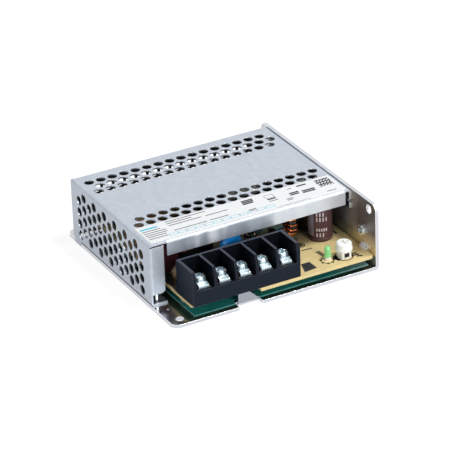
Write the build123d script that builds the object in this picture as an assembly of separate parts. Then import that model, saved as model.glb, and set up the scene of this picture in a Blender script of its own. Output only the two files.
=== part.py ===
from build123d import *
import math
import os

os.makedirs("parts", exist_ok=True)

# Enclosed switching power supply, in millimetres.
# X runs across the unit, Y from the terminals (minus) to the rear, Z up.
# The origin is at the bottom centre of the chassis plate.

# Overall size of the unit
length = 99.0
width = 97.0
height = 30.0

# Folded chassis: bottom plate and right wall
chassis_sheet = 1.6
chassis_bend_in = 0.4
wall_setback = 2.3
wall_corner = 3.0
plate_corner = 3.5
plate_hole = 3.6
plate_hole_side = 4.9
plate_hole_end = 4.6
tooling_hole = 1.2
tooling_hole_side = 4.5
tooling_hole_end = 14.1
wall_hole = 4.1
wall_hole_end = 5.3
wall_hole_drop = 3.5

# Tongue bent up from the front edge of the plate
tongue_x = -12.7
tongue_width = 9.2
tongue_setback = 2.5
tongue_slant = 4.4
tongue_relief = 0.9
tongue_below_board = 0.3

# Hold-down lances pressed inwards from the wall
lance_length = 5.4
lance_height = 2.4
lance_depth = 2.0
lance_skin = 0.7
lance_front_end = 7.6
lance_rear_end = 33.2

# Folded cover
cover_sheet = 0.8
cover_bend_out = 1.2
cover_below_wall = 0.3
cover_side_gap = 0.1
front_ledge = 19.5
rear_ledge = 7.0
strip_drop = 6.6
strip_left_gap = 8.3
strip_right_gap = 2.7
flange_width = 6.5
flange_foot = 6.6
flange_top_gap = 0.7
flange_corner = 1.8
foot_width = 7.3
right_lip_drop = 3.0
ear_drop = 8.6
ear_length = 11.0
ear_corner = 1.5
rear_ear_share = 0.62
lip_notch = 1.3
lip_notch_drop = 4.6
seam = 0.3
edge_tab_length = 6.0
edge_tab_end = 1.2
edge_tab_gap = 0.2
rear_foot_gap = 0.6

# Perforation of the cover; each hole has flat sides, which keeps the facets few
hole = 4.4
hole_sides = 12
hole_pitch = 5.5
top_rear_margin = 7.5
top_left_margin = 5.16
top_right_margin = 7.0
top_rear_rows = 3
top_front_rows = 2
top_front_margin = 19.0
side_rear_margin = 7.2
side_front_margin = 8.0
side_top_margin = 7.3
side_rows = 4
rear_side_margin = 6.0
rear_top_margin = 7.3
rear_rows = 2

# Label on the front part of the cover's top
label_thickness = 0.1
label_depth = 15.2
label_front_gap = 1.3
label_left_gap = 1.7
label_right_gap = 1.5

# Threaded bushes pressed into the wall, and threaded collars drawn up from the plate
bush_outer = 4.6
bush_shank = 3.8
bush_bore = 2.5
bush_reach = 3.2
wall_bush_front_end = 7.3
wall_bush_rear_end = 9.6
wall_bush_z = 16.6
collar_reach = 2.6
collar_side = 15.5
collar_end = 19.5
press_gap = 0.02

# Cover screws, countersunk into the plate and into the wall
cover_screw = 2.9
cover_screw_head = 5.2
cover_screw_gap = 0.05
foot_screw_length = 6.2
foot_screw_side = 3.5
foot_screw_front = 3.0
foot_screw_rear = 12.5
ear_screw_length = 3.6
ear_screw_drop = 5.6
cover_screw_slot = 0.7
cover_screw_slot_length = 3.0
cover_screw_slot_depth = 0.6

# Circuit board, its film and its fixings
board_gap = 4.1
board_thickness = 1.2
board_left_margin = 9.9
board_side_gap = 0.5
board_rear_gap = 0.5
board_front_gap = 0.5
board_step = 3.0
board_corner = 1.8
board_tongue_gap = 0.5
film_thickness = 0.3
film_inset = 1.2
film_front_inset = 2.8
film_hole_gap = 0.8
standoff_outer = 5.0
standoff_bore = 3.0
standoff_bore_depth = 3.2
standoff_rear_gap = 3.4
standoff_block_gap = 3.4
board_screw = 2.5
board_screw_gap = 0.3
board_screw_head = 5.4
board_screw_head_height = 1.9
board_screw_length = 4.0

# Leads, drawn square: how far they come out under the board, and their play in it
lead = 0.6
lead_stickout = 0.8
lead_gap = 0.15

# Terminal block
poles = 5
pole_pitch = 9.7
divider = 1.1
end_wall = 1.5
block_left_gap = 0.1
block_front_gap = 1.2
block_depth = 14.8
block_height = 15.3
block_base = 6.55
block_floor = 5.9
block_lip = 1.2
block_nose_length = 1.6
block_nose_drop = 2.4
block_nose_corner = 1.2
contact_width = 6.2
contact_thickness = 0.8
contact_pin = 1.2
contact_pin_gap = 0.1
contact_front_gap = 0.1
contact_rear_gap = 2.6
clamp_width = 4.6
clamp_length = 6.8
clamp_thickness = 0.9
clamp_rise = 1.3
clamp_lip_thickness = 0.7
clamp_slope = 1.7
clamp_slope_drop = 0.8
clamp_front_gap = 0.1
terminal_screw = 2.9
terminal_screw_gap = 0.1
terminal_screw_behind = 0.9
terminal_screw_reach = 4.5
terminal_pocket_depth = 5.0
terminal_head = 5.4
terminal_head_height = 2.2
terminal_head_edge = 0.7
slot_width = 0.9
slot_length = 4.2
slot_depth = 1.1

# Lamp and trimmer near the front right corner
lamp_x_gap = 17.8
lamp_y_gap = 8.0
lamp_radius = 1.35
lamp_flange_radius = 1.55
lamp_flange = 0.7
lamp_length = 4.8
lamp_stand = 1.2
lamp_lead = 0.5
lamp_lead_pitch = 1.6
trimmer_x_gap = 11.0
trimmer_y_gap = 6.1
trimmer_width = 4.8
trimmer_depth = 5.0
trimmer_height = 3.5
trimmer_corner = 0.6
trimmer_window_width = 2.4
trimmer_window_height = 2.0
trimmer_window_depth = 0.8
trimmer_window_foot = 0.6
trimmer_axle = 1.2
trimmer_axle_gap = 0.06
trimmer_running_gap = 0.1
knob_flange_radius = 3.6
knob_flange = 0.9
knob_radius = 3.3
knob_height = 2.5
knob_edge = 0.5
knob_roof = 0.6
knob_slot_width = 0.9
knob_slot_length = 4.0
knob_slot_depth = 0.9

# Can capacitors, measured down from the inside of the cover's top
output_cap_radius = 5.2
output_cap_clearance = 2.0
output_cap_x_gap = 10.4
output_cap_y_gap = 7.7
output_cap_pitch = 12.6
output_cap_shift = 1.2
output_cap_lead_pitch = 5.0
bulk_cap_radius = 11.0
bulk_cap_clearance = 1.2
bulk_cap_lead = 1.3
bulk_cap_lead_pitch = 10.0
small_cap_radius = 2.5
small_cap_height = 11.0
small_cap_lead_pitch = 2.0
cap_groove = 0.35
cap_groove_height = 1.8
cap_edge = 0.6

# Power devices screwed to the wall
device_width = 10.2
device_thickness = 4.4
device_tab = 1.3
device_tab_corner = 1.2
device_body_drop = 6.2
device_body_edge = 0.8
device_top_gap = 1.8
device_lift = 2.6
device_foot_lip = 0.6
device_pad = 0.3
device_pad_margin = 1.0
device_screw = 2.9
device_screw_gap = 0.15
device_screw_head = 5.4
device_screw_head_height = 2.0
device_screw_drop = 3.0
device_lead_pitch = 2.54
device_lead_width = 0.8
device_lead_thickness = 0.5
device_lead_setback = 2.6

# Box, disc and fuse parts
line_cap_size = (9.0, 18.0, 15.0)
line_cap_pitch = 15.0
film_cap_size = (10.0, 4.5, 9.0)
film_cap_pitch = 7.5
box_cap_edge = 0.8
disc_radius = 5.0
disc_thickness = 4.0
disc_lift = 10.2
disc_pitch = 7.5
disc_edge = 1.2
varistor_radius = 3.6
varistor_thickness = 3.6
varistor_lift = 5.2
varistor_pitch = 5.0
fuse_radius = 2.2
fuse_length = 11.0
fuse_cap_wall = 0.25
fuse_cap_length = 2.4
fuse_lift = 3.4
fuse_pitch = 15.0

# Chokes
ring_outer = 7.8
ring_inner = 4.2
ring_width = 6.5
ring_wire = 0.9
ring_turns = 6
ring_turn_angle = 18.0
ring_droop = 25.0
coil_outer = 5.4
coil_inner = 3.0
coil_width = 3.0
coil_wire = 0.8
coil_turns = 13
coil_turn_angle = 22.5
coil_cap_behind = 8.3
loop_play = 0.06
line_core_width = 15.0
line_core_height = 17.0
line_core_leg = 4.2
line_core_depth = 5.2
line_coil = 1.6

# Transformer
core_length = 25.4
core_breadth = 24.0
core_leg = 3.4
core_centre_leg = 6.4
core_thickness = 7.0
core_back = 3.5
bobbin_wall = 0.8
bobbin_lift = 1.4
winding_gap = 0.2
winding_build = 4.6
winding_edge = 2.0
winding_below_rim = 0.3
pin_rail = 2.4

# Rectifier, chips and resistors
bridge_width = 21.0
bridge_height = 14.0
bridge_thickness = 3.6
bridge_lift = 1.6
bridge_corner = 3.0
bridge_lead = 1.0
bridge_pitch = 5.0
chip_length = 9.6
chip_width = 6.4
chip_height = 3.2
chip_stand = 0.4
chip_notch = 0.8
coupler_length = 4.8
chip_pitch = 2.54
chip_pin_width = 1.0
chip_pin_tip = 0.5
chip_pin_thickness = 0.3
chip_pin_reach = 0.9
chip_beside_film_cap = 10.2
chip_before_film_cap = 6.8
coupler_behind_cap = 13.5
resistor_radius = 1.2
resistor_length = 6.2
resistor_pitch = 10.0

# Positions worked out from those sizes
half_width = width / 2
half_length = length / 2
wall_inner = half_width - chassis_sheet
wall_rear = half_length - wall_setback
plate_top = chassis_sheet
outer_bend = chassis_sheet + chassis_bend_in
cover_top = height - cover_below_wall
cover_inner_top = cover_top - cover_sheet
cover_front = -half_length + front_ledge
cover_rear = half_length - rear_ledge
cover_left = -half_width
cover_right = wall_inner - cover_side_gap
cover_left_in = cover_left + cover_sheet
cover_right_in = cover_right - cover_sheet
foot_top = plate_top + cover_sheet
board_bottom = plate_top + board_gap
board_top = board_bottom + board_thickness
board_left = -half_width + board_left_margin
board_right = wall_inner - board_side_gap
board_front = -half_length + board_front_gap
board_rear = cover_rear - cover_sheet - board_rear_gap
lead_foot = board_bottom - lead_stickout
tongue_left = tongue_x - tongue_width / 2
tongue_right = tongue_x + tongue_width / 2
tongue_face = -half_length + tongue_setback
tongue_top = board_top - tongue_below_board
block_left = board_left + block_left_gap
block_right = block_left + poles * pole_pitch + end_wall
block_front = -half_length + block_front_gap
block_rear = block_front + block_depth
clamp_front = block_front + block_lip + clamp_front_gap
contact_front = clamp_front + contact_front_gap
contact_rear = block_rear - divider - contact_rear_gap
contact_top = board_top + block_floor + contact_thickness
contact_pin_y = contact_rear - contact_pin
clamp_top = contact_top + clamp_rise + clamp_thickness
terminal_screw_y = clamp_front + clamp_length / 2 + terminal_screw_behind
row_step = hole_pitch * math.sqrt(3) / 2
device_face = wall_inner - device_pad
device_foot = board_top + device_lift
device_top = cover_top - right_lip_drop - device_top_gap
device_screw_z = device_top - device_screw_drop
device_lead_x = device_face - device_lead_setback
transformer_z = board_top + bobbin_lift + core_thickness / 2 + winding_build + bobbin_wall


def on_board(u, v):
    """A place on the board, as shares of its width and depth."""
    x = board_left + u * (board_right - board_left)
    y = board_front + v * (board_rear - board_front)
    return (x, y)


# Places of the parts
collar_x = half_width - collar_side
collar_y = half_length - collar_end
collar_places = [(sx * collar_x, sy * collar_y) for sx in (-1, 1) for sy in (-1, 1)]
wall_bush_places = [-half_length + wall_bush_front_end, wall_rear - wall_bush_rear_end]
standoff_places = [(on_board(0.055, 0)[0], board_rear - standoff_rear_gap),
                   (on_board(0.925, 0)[0], board_rear - standoff_rear_gap),
                   (on_board(0.42, 0)[0], block_rear + standoff_block_gap)]
device_places = [on_board(1, 0.54)[1], on_board(1, 0.86)[1]]
output_cap_x = board_right - output_cap_x_gap
output_cap_y = cover_front + output_cap_y_gap
output_caps = [(output_cap_x, output_cap_y),
               (output_cap_x + output_cap_shift, output_cap_y + output_cap_pitch)]
bulk_cap = on_board(0.166, 0.71)
small_caps = [on_board(0.76, 0.94), on_board(0.86, 0.70)]
line_cap = on_board(0.07, 0.46)
film_caps = [on_board(0.47, 0.95), on_board(0.62, 0.90)]
disc_caps = [on_board(0.355, 0.26), on_board(0.43, 0.395)]
varistor = on_board(0.062, 0.25)
fuse = on_board(0.21, 0.245)
ring_choke = on_board(0.565, 0.30)
output_choke = (on_board(0.744, 0)[0], output_cap_y + coil_cap_behind)
line_choke = on_board(0.27, 0.475)
transformer = on_board(0.61, 0.685)
bridge = on_board(0.16, 0.905)
control_chip = (film_caps[1][0] - chip_beside_film_cap, film_caps[0][1] - chip_before_film_cap)
coupler = (on_board(0.845, 0)[0], output_caps[1][1] + coupler_behind_cap)
resistors = [on_board(0.36, 0.83), on_board(0.40, 0.62), on_board(0.845, 0.81)]
lamp_place = (board_right - lamp_x_gap, board_front + lamp_y_gap)
trimmer_place = (board_right - trimmer_x_gap, board_front + trimmer_y_gap)
line_cap_leads = [(line_cap[0], line_cap[1] + side * line_cap_pitch / 2) for side in (-1, 1)]
bridge_leads = [(bridge[0] + bridge_pitch * (i - 1.5), bridge[1]) for i in range(4)]
contact_places = [block_left + end_wall / 2 + pole_pitch * (i + 0.5) for i in range(poles)]


def box_between(x, y, z):
    """A box from its lowest and highest x, y and z."""
    middle = Pos((x[0] + x[1]) / 2, (y[0] + y[1]) / 2, (z[0] + z[1]) / 2)
    return middle * Box(x[1] - x[0], y[1] - y[0], z[1] - z[0])


def post(x, y, z, wide, deep=None):
    """An upright square or oblong bar round a place, between two heights."""
    deep = wide if deep is None else deep
    return box_between((x - wide / 2, x + wide / 2), (y - deep / 2, y + deep / 2), z)


def rod(x, y, z, radius):
    """An upright cylinder between two heights."""
    return Pos(x, y, (z[0] + z[1]) / 2) * Cylinder(radius, z[1] - z[0])


def cross_rod(x, y, z, radius):
    """A cylinder along X between two x positions."""
    lying = Rot(0, 90, 0) * Cylinder(radius, x[1] - x[0])
    return Pos((x[0] + x[1]) / 2, y, z) * lying


def flat_face(points, corners=()):
    """A face in the XY plane; corners lists (x, y, radius) to round."""
    face = make_face(Polyline(*points, close=True))
    for x, y, radius in corners:
        near = face.vertices().sort_by_distance((x, y, 0))[0]
        face = fillet(near, radius)
    return face


def across(points, x, corners=()):
    """A profile drawn in Y and Z, extruded between two x positions."""
    face = Plane.YZ.offset(x[0]) * flat_face(points, corners)
    return extrude(face, x[1] - x[0])


def along(points, y, corners=()):
    """A profile drawn in X and Z, extruded between two y positions."""
    face = Plane.XZ.offset(-y[1]) * flat_face(points, corners)
    return extrude(face, y[1] - y[0])


def upright(points, z, corners=()):
    """A profile drawn in X and Y, extruded between two heights."""
    face = Plane.XY.offset(z[0]) * flat_face(points, corners)
    return extrude(face, z[1] - z[0])


def turned(points, x, y):
    """A profile of (radius, height) points turned about an upright axis."""
    face = Plane.XZ * make_face(Polyline(*points, close=True))
    return Pos(x, y, 0) * revolve(face, Axis.Z)


def steps(low, high, step):
    """Positions a step apart from the low limit, as many as fit."""
    count = int((high - low) / step + 1e-6) + 1
    return [low + step * i for i in range(count)]


def paired(place, pitch):
    """Two lead places either side of a centre."""
    x, y = place
    return [(x - pitch / 2, y), (x + pitch / 2, y)]


def board_leads(place, pitch, top, wide=lead):
    """Two leads from under the board up into a part."""
    return [post(x, y, (lead_foot, top), wide) for x, y in paired(place, pitch)]


def group(shapes):
    """Separate solids kept together in one node."""
    solids = []
    for shape in shapes:
        solids.extend(shape.solids())
    return Compound(children=solids)


def save(name, shape):
    export_step(shape, f"parts/{name}.step")


def lance(y, low, high, half, reach):
    """A pressed shape standing in from the wall, rounded along its top edge."""
    inner_x = wall_inner - reach
    solid = box_between((inner_x, wall_inner + chassis_sheet / 2), (y - half, y + half), (low, high))
    top_edge = solid.edges().filter_by(Axis.Y).sort_by_distance((inner_x, y, high))[0]
    return fillet(top_edge, (high - low) * 0.6)


def add_lances(body):
    """Press the lances inwards, hollow behind and open underneath to the wall's outside."""
    low = board_top
    high = board_top + lance_height
    half = lance_length / 2
    for y in (-half_length + lance_front_end, wall_rear - lance_rear_end):
        body += lance(y, low, high, half, lance_depth)
        hollow_low = low + lance_skin
        hollow_high = high - lance_skin
        hollow_half = half - lance_skin
        body -= lance(y, hollow_low, hollow_high, hollow_half, lance_depth - lance_skin)
        body -= box_between((wall_inner, half_width + 1), (y - hollow_half, y + hollow_half),
                            (hollow_low, hollow_high))
    return body


def add_tongue(body):
    """Notch the front edge, with a tongue bent up out of the notch."""
    notch = [
        (tongue_left - tongue_relief, -half_length - 1),
        (tongue_right + tongue_relief, -half_length - 1),
        (tongue_right + tongue_relief, tongue_face + outer_bend),
        (tongue_left - tongue_relief, tongue_face + outer_bend),
    ]
    body -= upright(notch, (-1, plate_top + 1))
    profile = [
        (tongue_face + 2 * outer_bend, 0),
        (tongue_face, 0),
        (tongue_face, tongue_top),
        (tongue_face + chassis_sheet, tongue_top),
        (tongue_face + chassis_sheet, plate_top),
        (tongue_face + 2 * outer_bend, plate_top),
    ]
    bends = [(tongue_face, 0, outer_bend), (tongue_face + chassis_sheet, plate_top, chassis_bend_in)]
    tongue = across(profile, (tongue_left, tongue_right), bends)
    slant = [
        (tongue_right + 1, tongue_top - tongue_slant),
        (tongue_right + 1, tongue_top + 1),
        (tongue_right - tongue_slant, tongue_top + 1),
        (tongue_right - tongue_slant, tongue_top),
        (tongue_right, tongue_top - tongue_slant),
    ]
    tongue -= along(slant, (tongue_face - 1, tongue_face + chassis_sheet + 0.3))
    return body + tongue


def chassis_holes():
    """Everything drilled through the plate and the wall."""
    through_plate = (-1, plate_top + 1)
    through_wall = (wall_inner - 1, half_width + 1)
    tools = []
    for y in (-half_length + plate_hole_end, half_length - plate_hole_end):
        tools.append(rod(-half_width + plate_hole_side, y, through_plate, plate_hole / 2))
    tools.append(rod(-half_width + tooling_hole_side, -half_length + tooling_hole_end,
                     through_plate, tooling_hole / 2))
    for y in (-half_length + wall_hole_end, wall_rear - wall_hole_end):
        tools.append(cross_rod(through_wall, y, height - wall_hole_drop, wall_hole / 2))
    for y in wall_bush_places:
        tools.append(cross_rod(through_wall, y, wall_bush_z, bush_shank / 2 + press_gap))
    for y in device_places:
        tools.append(cross_rod(through_wall, y, device_screw_z, device_screw / 2 + press_gap))
    for x, y in collar_places:
        tools.append(rod(x, y, (-1, plate_top + collar_reach + 1), bush_bore / 2))
    return tools


def make_chassis():
    angle = [
        (-half_width, 0),
        (half_width, 0),
        (half_width, height),
        (wall_inner, height),
        (wall_inner, plate_top),
        (-half_width, plate_top),
    ]
    bends = [(half_width, 0, outer_bend), (wall_inner, plate_top, chassis_bend_in)]
    body = along(angle, (-half_length, half_length), bends)

    # The wall stops short of the plate at the rear, and its top corners are round
    wall_x = (wall_inner - 1, half_width + 1)
    body -= box_between(wall_x, (wall_rear, half_length + 1), (plate_top + outer_bend, height + 1))
    body -= box_between((half_width - 3 * chassis_sheet, half_width + 1),
                        (wall_rear, half_length + 1), (-1, plate_top + outer_bend))
    wall_ends = body.edges().filter_by(Axis.X).group_by(Axis.Z)[-1]
    body = fillet(wall_ends, wall_corner)
    left_ends = body.edges().filter_by(Axis.Z).group_by(Axis.X)[0]
    body = fillet(left_ends, plate_corner)

    body = add_tongue(body)
    body = add_lances(body)
    body += [rod(x, y, (plate_top / 2, plate_top + collar_reach), bush_outer / 2) for x, y in collar_places]
    body -= chassis_holes()

    # Countersinks for the cover screws, and a notch for the edge tab of the cover
    for place in cover_screw_places():
        body -= countersunk(place, cover_screw_gap)
    tab_front, tab_rear = edge_tab_range()
    body -= box_between((cover_left - 1, cover_left_in + edge_tab_gap),
                        (tab_front - edge_tab_gap, tab_rear + edge_tab_gap), (-1, plate_top + 1))
    return body


def make_wall_bushes():
    """Threaded bushes that stand on the wall's inside, with a thinner shank in its hole."""
    bushes = []
    for y in wall_bush_places:
        bush = cross_rod((wall_inner - bush_reach, wall_inner), y, wall_bush_z, bush_outer / 2)
        bush += cross_rod((wall_inner, half_width), y, wall_bush_z, bush_shank / 2)
        bush -= cross_rod((wall_inner - bush_reach - 1, half_width + 1), y, wall_bush_z, bush_bore / 2)
        bushes.append(bush)
    return group(bushes)


def ear_ranges():
    """The y ranges of the two ears of the cover's right lip."""
    middle = cover_front + rear_ear_share * (cover_rear - cover_front)
    return [(cover_front, cover_front + ear_length),
            (middle - ear_length / 2, middle + ear_length / 2)]


def cover_screw_places():
    """Each screw's head centre, whether it points up, and its length."""
    places = []
    for y in (cover_front + foot_screw_front, cover_rear - foot_screw_rear):
        places.append(((cover_left + foot_screw_side, y, 0), True, foot_screw_length))
    for low, high in ear_ranges():
        place = (half_width, (low + high) / 2, cover_top - ear_screw_drop)
        places.append((place, False, ear_screw_length))
    return places


def countersunk(place, gap):
    """A countersunk screw without its recess, or with a gap the room it needs."""
    at, upward, reach = place
    shank = cover_screw / 2
    head = cover_screw_head / 2
    profile = [
        (0, -gap),
        (head + gap, -gap),
        (head + gap, gap),
        (shank + gap, head - shank + gap),
        (shank + gap, reach + gap),
        (0, reach + gap),
    ]
    if gap == 0:
        profile = [(0, 0), (head, 0), (shank, head - shank), (shank, reach), (0, reach)]
    screw = turned(profile, 0, 0)
    if not upward:
        screw = Rot(0, -90, 0) * screw
    return Pos(*at) * screw


def cross_recess(wide, long, deep):
    """Two crossed bars, to be cut half their height into a screw's head."""
    return Box(long, wide, 2 * deep) + Box(wide, long, 2 * deep)


def make_cover_screws():
    screws = []
    for place in cover_screw_places():
        at, upward, reach = place
        recess = cross_recess(cover_screw_slot, cover_screw_slot_length, cover_screw_slot_depth)
        if not upward:
            recess = Rot(0, 90, 0) * recess
        screws.append(countersunk(place, 0) - Pos(*at) * recess)
    return group(screws)


def edge_tab_range():
    """The y range of the tab of the cover that hooks over the plate's edge."""
    rear = cover_rear - edge_tab_end
    return (rear - edge_tab_length, rear)


def cover_wrap():
    """Foot, left wall, top and right lip, folded round bends along Y."""
    r = cover_bend_out
    inner = r - cover_sheet
    ring = [
        (cover_left + foot_width, plate_top),
        (cover_left, plate_top),
        (cover_left, cover_top),
        (cover_right, cover_top),
        (cover_right, cover_top - right_lip_drop),
        (cover_right_in, cover_top - right_lip_drop),
        (cover_right_in, cover_inner_top),
        (cover_left_in, cover_inner_top),
        (cover_left_in, foot_top),
        (cover_left + foot_width, foot_top),
    ]
    bends = [
        (cover_left, plate_top, r),
        (cover_left, cover_top, r),
        (cover_right, cover_top, r),
        (cover_right_in, cover_inner_top, inner),
        (cover_left_in, cover_inner_top, inner),
        (cover_left_in, foot_top, inner),
    ]
    return along(ring, (cover_front, cover_rear), bends)


def fold_down(body, edge_y, low, span, inward):
    """Fold the top's edge down at edge_y as far as low; inward is the way to the unit's middle."""
    r = cover_bend_out
    inner_y = edge_y + inward * cover_sheet
    lap_y = edge_y + inward * (r + cover_sheet)
    profile = [
        (lap_y, cover_top),
        (edge_y, cover_top),
        (edge_y, low),
        (inner_y, low),
        (inner_y, cover_inner_top),
        (lap_y, cover_inner_top),
    ]
    bends = [(edge_y, cover_top, r), (inner_y, cover_inner_top, r - cover_sheet)]
    edge = sorted((edge_y - inward, edge_y + inward * r))
    body -= box_between(span, edge, (cover_inner_top - 1, cover_top + 1))
    return body + across(profile, span, bends)


def add_front_flange(body):
    """Flange folded inwards from the front edge of the left wall, free of the top."""
    r = cover_bend_out
    lap_y = cover_front + r + cover_sheet
    front_in = cover_front + cover_sheet
    tall = (flange_foot, cover_inner_top - flange_top_gap)
    outline = [
        (cover_left, lap_y),
        (cover_left, cover_front),
        (cover_left + flange_width, cover_front),
        (cover_left + flange_width, front_in),
        (cover_left_in, front_in),
        (cover_left_in, lap_y),
    ]
    bends = [(cover_left, cover_front, r), (cover_left_in, front_in, r - cover_sheet)]
    body -= box_between((cover_left - 1, cover_left_in), (cover_front - 1, cover_front + r), tall)
    flange = upright(outline, tall, bends)
    foot_corner = flange.edges().filter_by(Axis.Y).sort_by_distance(
        (cover_left + flange_width, cover_front, flange_foot))[0]
    body += fillet(foot_corner, flange_corner)
    slit = (tall[1], cover_inner_top)
    return body - box_between((cover_left - 1, cover_left + flange_width), (cover_front - 1, front_in), slit)


def add_ears(body):
    """Two ears of the right lip that take the side screws, and a notch in the lip's front end."""
    for low, high in ear_ranges():
        ear = box_between((cover_right_in, cover_right), (low, high),
                          (cover_top - ear_drop, cover_top - 2 * cover_bend_out))
        if low > cover_front:
            ear = fillet(ear.edges().filter_by(Axis.X).group_by(Axis.Z)[0], ear_corner)
        body += ear
    notch_top = cover_top - lip_notch_drop
    return body - box_between((cover_right_in - 1, cover_right + 1),
                              (cover_front - 1, cover_front + 2 * cover_sheet),
                              (notch_top - lip_notch, notch_top))


def add_edge_tab(body):
    """A tab of the left wall that hooks over the plate's edge, beside a gap in the foot."""
    tab = edge_tab_range()
    bend_top = foot_top + cover_bend_out - cover_sheet
    body -= box_between((cover_left - 1, cover_left + foot_width + 1), (tab[0] - seam, cover_rear + 1),
                        (0, bend_top))
    return body + box_between((cover_left, cover_left_in), tab, (0, bend_top))


def make_cover():
    body = cover_wrap()
    rear_span = (cover_left_in + seam, cover_right_in - seam)
    body = fold_down(body, cover_rear, plate_top + rear_foot_gap, rear_span, -1)
    strip_span = (cover_left + strip_left_gap, cover_right - strip_right_gap)
    body = fold_down(body, cover_front, cover_top - strip_drop, strip_span, 1)
    body = add_front_flange(body)
    body = add_ears(body)
    body = add_edge_tab(body)
    body -= perforation()

    # Screw holes in the foot and in the ears
    radius = cover_screw / 2 + cover_screw_gap
    holes = []
    for at, upward, reach in cover_screw_places():
        if upward:
            holes.append(rod(at[0], at[1], (0, foot_top + 1), radius))
        else:
            holes.append(cross_rod((cover_right_in - 1, cover_right + 1), at[1], at[2], radius))
    return body - holes


def punches(centres, plane):
    """Flat-sided punches at places on a plane that lies inside the sheet, reaching out of it."""
    outline = RegularPolygon(hole / 2, hole_sides)
    shapes = Sketch() + [Pos(u, v) * outline for u, v in centres]
    return extrude(plane * shapes, 3 * cover_sheet)


def staggered(first, limits, rows, row_gap, phase=0):
    """Places in rows a gap apart, every second row shifted by half a pitch."""
    places = []
    for row in range(rows):
        shift = hole_pitch / 2 if (row + phase) % 2 else 0.0
        for u in steps(limits[0], limits[1], hole_pitch):
            places.append((u + shift, first - row_gap * row))
    return places


def perforation():
    """The staggered holes of the top, the left wall and the rear wall."""
    limits = (cover_left + top_left_margin, cover_right - top_right_margin)
    front_first = cover_front + top_front_margin + row_step * (top_front_rows - 1)
    top = staggered(cover_rear - top_rear_margin, limits, top_rear_rows, row_step)
    top += staggered(front_first, limits, top_front_rows, row_step, 1)
    tools = punches(top, Plane.XY.offset(cover_inner_top - cover_sheet))

    side = []
    columns = steps(0, cover_rear - side_rear_margin - cover_front - side_front_margin, row_step)
    for number, step in enumerate(columns):
        shift = hole_pitch / 2 if number % 2 else 0.0
        for row in range(side_rows):
            z = cover_top - side_top_margin - hole_pitch * row + shift
            side.append((cover_rear - side_rear_margin - step, z))
    tools += punches(side, Plane.YZ.offset(cover_left - cover_sheet))

    limits = (cover_left + rear_side_margin, cover_right - rear_side_margin - hole_pitch / 2)
    rear = staggered(cover_top - rear_top_margin, limits, rear_rows, row_step)
    tools += punches(rear, Plane.XZ.offset(-cover_rear - cover_sheet))
    return tools


def make_top_label():
    front = cover_front + label_front_gap
    return box_between((cover_left + label_left_gap, cover_right - label_right_gap),
                       (front, front + label_depth), (cover_top, cover_top + label_thickness))


def make_board_standoffs():
    """Posts welded to the plate, each with a blind hole for the board's screw."""
    posts = []
    for x, y in standoff_places:
        shape = rod(x, y, (plate_top, board_bottom), standoff_outer / 2)
        posts.append(shape - rod(x, y, (board_bottom - standoff_bore_depth, board_bottom + 1), standoff_bore / 2))
    return group(posts)


def make_board_screws():
    screws = []
    for x, y in standoff_places:
        head = rod(x, y, (board_top, board_top + board_screw_head_height), board_screw_head / 2)
        screws.append(head + rod(x, y, (board_top - board_screw_length, board_top), board_screw / 2))
    return group(screws)


def make_insulating_film():
    sheet = box_between((board_left + film_inset, board_right - film_inset),
                        (board_front + film_front_inset, board_rear - film_inset),
                        (plate_top, plate_top + film_thickness))
    holes = [post(x, y, (0, board_bottom), bush_outer + 2 * film_hole_gap) for x, y in collar_places]
    holes += [post(x, y, (0, board_bottom), standoff_outer + 2 * film_hole_gap) for x, y in standoff_places]
    notch = box_between((tongue_left - tongue_relief, tongue_right + tongue_relief),
                        (-half_length, tongue_face + 2 * outer_bend), (0, board_bottom))
    return sheet - holes - notch


def lead_places():
    """Every lead through the board as (x, y, width, depth)."""
    leads = []
    pairs = [(place, output_cap_lead_pitch, lead) for place in output_caps]
    pairs += [(place, small_cap_lead_pitch, lead) for place in small_caps]
    pairs += [(place, film_cap_pitch, lead) for place in film_caps]
    pairs += [(place, disc_pitch, lead) for place in disc_caps]
    pairs += [(place, resistor_pitch, lead) for place in resistors]
    pairs += [(bulk_cap, bulk_cap_lead_pitch, bulk_cap_lead)]
    pairs += [(varistor, varistor_pitch, lead), (fuse, fuse_pitch, lead)]
    pairs += [(lamp_place, lamp_lead_pitch, lamp_lead)]
    for place, pitch, wide in pairs:
        leads += [(x, y, wide, wide) for x, y in paired(place, pitch)]
    leads += [(x, y, lead, lead) for x, y in line_cap_leads]
    leads += [(x, y, bridge_lead, bridge_lead) for x, y in bridge_leads]
    leads += [(x, contact_pin_y, contact_pin, contact_pin) for x in contact_places]
    leads += [(device_lead_x, y, device_lead_thickness, device_lead_width) for y in device_lead_rows()]
    return leads


def make_circuit_board():
    step_y = board_front + board_step
    notch_y = tongue_face + chassis_sheet + board_tongue_gap
    outline = [
        (board_left, step_y),
        (tongue_left - board_tongue_gap, step_y),
        (tongue_left - board_tongue_gap, notch_y),
        (tongue_right + board_tongue_gap, notch_y),
        (tongue_right + board_tongue_gap, board_front),
        (board_right, board_front),
        (board_right, board_rear),
        (board_left, board_rear),
    ]
    board = upright(outline, (board_bottom, board_top), [(board_right, board_front, board_corner)])
    through = (board_bottom - 1, board_top + 1)
    holes = [rod(x, y, through, board_screw / 2 + board_screw_gap) for x, y in standoff_places]
    for x, y, wide, deep in lead_places():
        holes.append(post(x, y, through, wide + 2 * lead_gap, deep + 2 * lead_gap))
    return board - holes


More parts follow.
